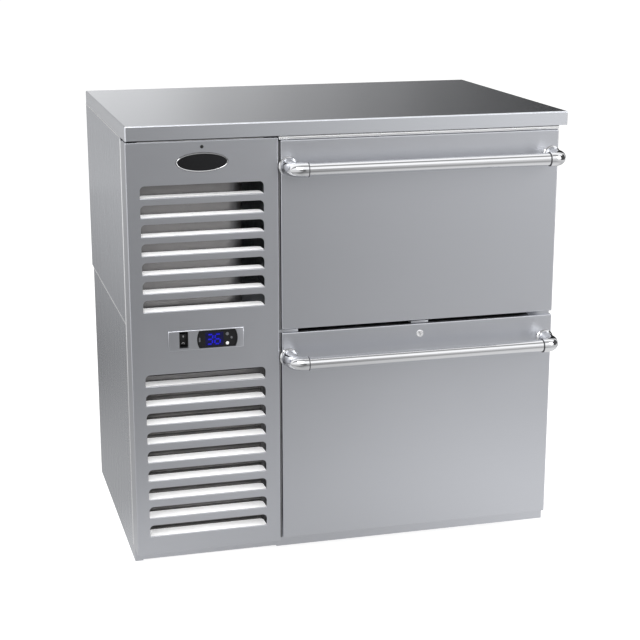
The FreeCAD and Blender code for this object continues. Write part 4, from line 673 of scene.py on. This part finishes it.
def makeMarks():
    shape = bmesh.new()
    addBar(shape, marks["bar"][1], marks["bar"][0], quarterTurn, (0, 0, 0), marks["depth"])
    bmesh.ops.translate(shape, vec=(0, marks["face"], marks["onHeight"]), verts=shape.verts)
    before = set(shape.verts)
    edges = startRing(shape, marks["ring"], facingFront, marks["ringSegments"])
    share = (marks["ring"] - marks["ringWidth"]) / marks["ring"]
    nextRing(shape, edges, (0, 0, 0), share)
    ring = [vert for vert in shape.verts if vert not in before]
    faces = list({face for vert in ring for face in vert.link_faces})
    grown = bmesh.ops.extrude_face_region(shape, geom=faces)["geom"]
    bmesh.ops.translate(shape, vec=(0, -marks["depth"], 0), verts=vertsOf(grown))
    ring = [vert for vert in shape.verts if vert not in before]
    bmesh.ops.translate(shape, vec=(0, marks["face"], marks["offHeight"]), verts=ring)
    bmesh.ops.rotate(shape, cent=(0, 0, 0), matrix=Matrix.Rotation(math.radians(marks["tilt"]), 3, "X"),
                     verts=shape.verts)
    bmesh.ops.translate(shape, vec=marks["pivot"], verts=shape.verts)
    finishPiece("rocker_marks", shape, markPaint, "power_rocker")


def makeBadgeRim():
    shape = bmesh.new()
    x, z = badge["centre"]
    depth, y = badge["profile"][0]
    wide, high = badge["halfWidth"] - depth, badge["halfHeight"] - depth
    stand = Matrix.Translation((x, y, z)) @ Matrix.Diagonal((wide, 1, high, 1)) @ facingFront
    first = startRing(shape, 1.0, stand, badge["segments"])
    edges = first
    for nextDepth, nextY in badge["profile"][1:]:
        nextWide, nextHigh = badge["halfWidth"] - nextDepth, badge["halfHeight"] - nextDepth
        edges = nextRing(shape, edges, (0, nextY - y, 0), (nextWide / wide, 1, nextHigh / high), (x, y, z))
        wide, high, y = nextWide, nextHigh, nextY
    bmesh.ops.bridge_loops(shape, edges=first + edges)
    finishPiece("badge_rim", shape, finishes["polished_metal"], "cabinet")


makeDigits()
makeMarks()
makeBadgeRim()
print("controls and badge made")


# Screws and thin trim

# The profile of a screw's head: shares of its radius and of its height, in to the floor of its socket
screws = {"segments": 24,
          "profile": ((1.0, 0.5), (0.9, 0.8), (0.7, 0.97), (0.48, 1.0), (0.44, 0.97), (0.4, 0.4)),
          "grille": (150.0, 5.0, 869.9), "grilleRadius": 3.4, "grilleHeight": 1.3,
          "backRadius": 4.2, "backHeight": 2.4, "backY": 596.5,
          "backX": (22.0, 240.0, 457.2, 674.4, 892.4), "backZ": (36.0, 488.0)}


def addScrew(shape, place, radius, height, side):
    # The side is -1 for a head that faces the front and 1 for the back
    x, y, z = place
    stand = Matrix.Translation(place) @ facingFront
    edges = startRing(shape, radius, stand, screws["segments"])
    bmesh.ops.edgeloop_fill(shape, edges=edges)
    last, lastHeight = 1.0, 0.0
    for share, level in screws["profile"]:
        edges = nextRing(shape, edges, (0, side * (level - lastHeight) * height, 0), share / last,
                         (x, y + side * lastHeight * height, z))
        last, lastHeight = share, level
    bmesh.ops.edgeloop_fill(shape, edges=edges)


def makeScrews():
    shape = bmesh.new()
    addScrew(shape, screws["grille"], screws["grilleRadius"], screws["grilleHeight"], -1)
    finishPiece("grille_screw", shape, finishes["black_paint"], "cabinet")
    shape = bmesh.new()
    for x in screws["backX"]:
        for z in screws["backZ"]:
            addScrew(shape, (x, screws["backY"], z), screws["backRadius"], screws["backHeight"], 1)
    finishPiece("back_panel_screws", shape, finishes["galvanised"], "cabinet")


# Hems and beads of the skins and the strip over the drawers, in a lighter steel that paints their highlights,
# and dark strips in the gaps that paint the gaps' shade.
# Each rod is its radius, its start, the axis that it runs along and its length.
trim = {"segments": 16, "width": 914.4, "axes": {"across": (1, 0, 0), "back": (0, 1, 0), "up": (0, 0, 1)},
        "skins": {"seam_beads": (1.6, (0.8, 68.5, 506.0), "back", 526.0),
                  "skin_top_beads": (1.6, (0.8, 68.5, 883.6), "back", 556.0),
                  "skin_front_beads": (1.5, (0.7, 67.6, 30.0), "up", 852.0)},
        "head": (4.1, (304.0, 8.4, 880.7), "across", 594.0),
        "gap": (1.7, (304.7, 10.2, 36.0), "up", 838.0),
        "grilleTop": (1.5, (4.0, 11.0, 883.4), "across", 298.0)}


def addRod(shape, radius, start, axis, length):
    direction = Vector(trim["axes"][axis])
    turn = Vector((0, 0, 1)).rotation_difference(direction).to_matrix().to_4x4()
    edges = startRing(shape, radius, Matrix.Translation(start) @ turn, trim["segments"])
    bmesh.ops.edgeloop_fill(shape, edges=edges)
    edges = nextRing(shape, edges, direction * length)
    bmesh.ops.edgeloop_fill(shape, edges=edges)


def makeTrim():
    for name, (radius, (inset, y, z), axis, length) in trim["skins"].items():
        shape = bmesh.new()
        for x in (inset, trim["width"] - inset):
            addRod(shape, radius, (x, y, z), axis, length)
        finishPiece(name, shape, trimSteelPaintedHighlight, "cabinet")
    lines = {"head_trim": ("head", trimSteelPaintedHighlight, "stainless_frame"),
             # The strips in the gaps stand in for the gaps' shade: painted shade
             "gap_shade_strip": ("gap", gapShadePaint, "stainless_frame"),
             "grille_top_shade_strip": ("grilleTop", finishes["fan_plastic"], "black_moulding")}
    for name, (rod, finish, slot) in lines.items():
        shape = bmesh.new()
        addRod(shape, *trim[rod])
        finishPiece(name, shape, finish, "cabinet")


# End of the cross rail and face of the lock's strike: left, right, front, bottom and top
railFaces = {"plates": {"rail_end": (303.0, 342.0, 8.0, 483.4, 489.2),
                        "strike_face": (584.0, 621.5, 7.2, 484.0, 488.4)},
             "sheet": 1.2, "round": 0.4, "roundSteps": 2}


def makeRailFaces():
    for name, (left, right, y, bottom, top) in railFaces["plates"].items():
        shape = bmesh.new()
        bmesh.ops.create_cube(shape, size=1.0)
        bmesh.ops.scale(shape, vec=(right - left, railFaces["sheet"], top - bottom), verts=shape.verts)
        bmesh.ops.translate(shape, vec=((left + right) / 2, y + railFaces["sheet"] / 2, (bottom + top) / 2),
                            verts=shape.verts)
        bmesh.ops.bevel(shape, geom=shape.edges[:], offset=railFaces["round"], offset_type="OFFSET",
                        segments=railFaces["roundSteps"], profile=0.5, affect="EDGES", material=-1)
        finishPiece(name, shape, finishes["stainless_frame"], "cabinet")


makeScrews()
makeTrim()
makeRailFaces()
print("screws and trim made")


# Floor, studio and light

floorSettings = {"size": 60.0, "below": 0.0004, "cameraGlow": 0.86, "white": 0.4, "bounce": 0.7}
# What shiny surfaces see of the floor: its level at each x, and bright spots as x, y, near, far and gain
sweep = {"stops": ((-3.0, 1.0), (-2.2, 0.88), (-1.5, 0.53), (-1.0, 0.4), (-0.6, 0.22), (0.0, 0.25),
                   (1.1, 0.5), (2.2, 0.76), (3.6, 1.0)),
         "spots": ((0.0, 0.0, 0.45, 1.6, 0.26), (0.8, -0.45, 0.1, 1.3, 0.34), (-0.6, -0.42, 0.1, 0.6, 0.26),
                   (0.2, -1.1, 0.1, 1.0, 0.16))}


def emptyMaterial(name):
    material = bpy.data.materials.new(name)
    material.use_nodes = True
    material.node_tree.nodes.remove(material.node_tree.nodes["Principled BSDF"])
    return material


def rayMask(owner, *kinds):
    light = owner.node_tree.nodes.new("ShaderNodeLightPath")
    total = light.outputs[kinds[0]]
    for kind in kinds[1:]:
        total = combine(owner, "MAXIMUM", total, light.outputs[kind])
    return total


def mixShaders(material, mask, first, second):
    tree = material.node_tree
    mix = tree.nodes.new("ShaderNodeMixShader")
    tree.links.new(mask, mix.inputs["Fac"])
    tree.links.new(first, mix.inputs[1])
    tree.links.new(second, mix.inputs[2])
    return mix.outputs["Shader"]


def softSteps(material, source, stops):
    # A grey level that runs through the given stops, each a place and a level
    tree = material.node_tree
    low, high = stops[0][0], stops[-1][0]
    ramp = tree.nodes.new("ShaderNodeValToRGB")
    ramp.color_ramp.interpolation = "EASE"
    points = ramp.color_ramp.elements
    while len(points) < len(stops):
        points.new(0.5)  # every point is placed just below
    for point, (place, level) in zip(points, stops):
        point.position = (place - low) / (high - low)
        point.color = (level, level, level, 1)
    tree.links.new(remap(material, source, 0, 1, low, high), ramp.inputs["Fac"])
    return ramp.outputs["Color"]


def softSpot(material, x, y, near, far, gain):
    tree = material.node_tree
    place = tree.nodes.new("ShaderNodeTexCoord")
    distance = tree.nodes.new("ShaderNodeVectorMath")
    distance.operation = "DISTANCE"
    distance.inputs[1].default_value = (x, y, 0)
    tree.links.new(place.outputs["Object"], distance.inputs[0])
    fall = tree.nodes.new("ShaderNodeMapRange")
    fall.interpolation_type = "SMOOTHSTEP"
    for name, value in (("From Min", near), ("From Max", far), ("To Min", gain), ("To Max", 0)):
        fall.inputs[name].default_value = value
    tree.links.new(distance.outputs["Value"], fall.inputs["Value"])
    return fall.outputs["Result"]


def floorMaterial():
    material = emptyMaterial("paleFloor")
    tree = material.node_tree
    total = softSteps(material, objectAxes(material)["X"], sweep["stops"])
    for spot in sweep["spots"]:
        total = combine(material, "ADD", total, softSpot(material, *spot))
    mirrored = tree.nodes.new("ShaderNodeEmission")
    tree.links.new(total, mirrored.inputs["Strength"])
    glow = tree.nodes.new("ShaderNodeEmission")
    glow.inputs["Strength"].default_value = floorSettings["cameraGlow"]
    shade, bounce = tree.nodes.new("ShaderNodeBsdfDiffuse"), tree.nodes.new("ShaderNodeBsdfDiffuse")
    shade.inputs["Color"].default_value = (*[floorSettings["white"]] * 3, 1)
    bounce.inputs["Color"].default_value = (*[floorSettings["bounce"]] * 3, 1)
    seen = tree.nodes.new("ShaderNodeAddShader")
    tree.links.new(glow.outputs["Emission"], seen.inputs[0])
    tree.links.new(shade.outputs["BSDF"], seen.inputs[1])
    unseen = mixShaders(material, rayMask(material, "Is Glossy Ray", "Is Transmission Ray"),
                        bounce.outputs["BSDF"], mirrored.outputs["Emission"])
    surface = mixShaders(material, rayMask(material, "Is Camera Ray"), unseen, seen.outputs["Shader"])
    tree.links.new(surface, tree.nodes["Material Output"].inputs["Surface"])
    return material


def flatPlane(name, width, height, material):
    shape = bmesh.new()
    bmesh.ops.create_grid(shape, x_segments=1, y_segments=1, size=0.5)
    bmesh.ops.scale(shape, vec=(width, height, 1), verts=shape.verts)
    mesh = bpy.data.meshes.new(name)
    shape.to_mesh(mesh)
    shape.free()
    mesh.materials.append(material)
    plane = bpy.data.objects.new(name, mesh)
    bpy.context.scene.collection.objects.link(plane)
    return plane


floor = flatPlane("floor", floorSettings["size"], floorSettings["size"], floorMaterial())
floor.location.z = -floorSettings["below"]


def aim(thing, spot):
    thing.rotation_euler = (Vector(spot) - thing.location).to_track_quat("-Z", "Y").to_euler()


def addCard(name, width, height, place, spot, stops):
    # Board that only shiny surfaces see, graded along its width
    material = emptyMaterial(name)
    tree = material.node_tree
    glow = tree.nodes.new("ShaderNodeEmission")
    tree.links.new(softSteps(material, objectAxes(material)["X"], stops), glow.inputs["Color"])
    tree.links.new(glow.outputs["Emission"], tree.nodes["Material Output"].inputs["Surface"])
    card = flatPlane(name, width, height, material)
    card.location = place
    aim(card, spot)
    card.visible_camera = False
    card.visible_diffuse = False
    card.visible_shadow = False


# Width, height, place, the spot it faces, and its grading as (place along the width, level)
cards = {
    "frontCardLow": (16.0, 1.1, (0.0, -7.5, 0.55), (0, 0, 0.55),
                     ((-6.0, 1.0), (-2.5, 0.3), (0.3, 0.16), (1.6, 0.45), (3.2, 0.72))),
    "frontCard": (16.0, 1.5, (0.0, -7.5, 1.85), (0, 0, 1.85),
                  ((-6.0, 1.0), (-2.5, 0.3), (0.3, 0.16), (1.6, 0.5), (3.2, 1.0))),
    "backCard": (9.0, 1.45, (1.0, 4.2, 0.725), (1.0, 0, 0.725),
                 ((-1.6, 0.05), (-1.1, 0.11), (-0.8, 0.2), (-0.45, 0.31), (-0.1, 0.43), (0.3, 0.59),
                  (0.8, 0.90), (1.25, 1.0), (1.7, 0.5), (4.0, 0.5))),
    "backCardUpper": (9.0, 3.0, (1.0, 4.2, 2.95), (1.0, 0, 2.95),
                      ((-1.6, 0.03), (-0.8, 0.1), (-0.45, 0.17), (-0.1, 0.23), (0.3, 0.32), (0.8, 0.55),
                       (1.25, 0.65), (1.7, 0.45), (4.0, 0.5))),
    "rightCard": (3.0, 2.4, (3.6, 0.0, 1.2), (0, 0, 1.2), ((-1.5, 0.1), (1.5, 0.1))),
}
for name, values in cards.items():
    addCard(name, *values)

# Width, height, place and power; the box over the worktop isn't mirrored in it
softboxes = {
    "keyBox": (2.6, 1.5, (-1.6, -2.6, 3.0), 60.0),
    "topBox": (3.2, 1.2, (0.3, -0.6, 3.4), 60.0, False),
    "sideBox": (1.6, 2.4, (3.4, -2.2, 2.2), 45.0),
}
boxTarget = (0, 0, 0.5)


def addSoftbox(name, width, height, place, power, mirrored=True):
    lamp = bpy.data.lights.new(name, "AREA")
    lamp.shape = "RECTANGLE"
    lamp.size = width
    lamp.size_y = height
    lamp.energy = power
    light = bpy.data.objects.new(name, lamp)
    bpy.context.scene.collection.objects.link(light)
    light.location = place
    light.visible_glossy = mirrored
    aim(light, boxTarget)


for name, values in softboxes.items():
    addSoftbox(name, *values)

# The ring grades what shiny surfaces see of the studio, by the angle over the front (degrees)
worldSettings = {"light": 0.5, "background": 1.0, "strength": 1.45,
                 "ring": ((-180, 0.66), (0, 0.66), (14, 0.66), (24, 1.0), (50, 1.0), (61, 0.3), (77, 0.3),
                          (88, 1.0), (114, 1.0), (124, 0.5), (140, 0.68), (180, 0.68))}


def buildWorld():
    world = bpy.data.worlds.new("studio")
    world.use_nodes = True
    tree = world.node_tree
    background = tree.nodes["Background"]
    background.inputs["Color"].default_value = (1, 1, 1, 1)
    direction = tree.nodes.new("ShaderNodeTexCoord")
    split = tree.nodes.new("ShaderNodeSeparateXYZ")
    tree.links.new(direction.outputs["Generated"], split.inputs["Vector"])
    ahead = combine(world, "MULTIPLY", split.outputs["Y"], -1)
    rise = combine(world, "ARCTAN2", split.outputs["Z"], ahead)
    ring = softSteps(world, combine(world, "DEGREES", rise, 0), worldSettings["ring"])
    ring = combine(world, "MULTIPLY", ring, worldSettings["strength"])
    light = (worldSettings["light"],) * 3
    shiny = mixColours(world, rayMask(world, "Is Glossy Ray"), light, ring)
    clear = rayMask(world, "Is Camera Ray", "Is Transmission Ray")
    colour = mixColours(world, clear, shiny, (worldSettings["background"],) * 3)
    tree.links.new(colour, background.inputs["Color"])
    bpy.context.scene.world = world


buildWorld()
print("studio set")


# Camera

cameraSettings = {"place": (-0.85621, -3.18913, 1.31376), "azimuth": -15.113, "elevation": 15.005,
                  "lens": 86.12, "sensor": 36}


def addCamera():
    data = bpy.data.cameras.new("photoCamera")
    data.lens = cameraSettings["lens"]
    data.sensor_width = cameraSettings["sensor"]
    camera = bpy.data.objects.new("photoCamera", data)
    azimuth = math.radians(cameraSettings["azimuth"])
    elevation = math.radians(cameraSettings["elevation"])
    back = Vector((math.sin(azimuth) * math.cos(elevation), -math.cos(azimuth) * math.cos(elevation),
                   math.sin(elevation)))
    right = Vector((math.cos(azimuth), math.sin(azimuth), 0))
    turned = Matrix((right, back.cross(right), back)).transposed().to_4x4()
    camera.matrix_world = Matrix.Translation(cameraSettings["place"]) @ turned
    bpy.context.scene.collection.objects.link(camera)
    bpy.context.scene.camera = camera


addCamera()
bpy.context.scene.view_settings.view_transform = "Standard"
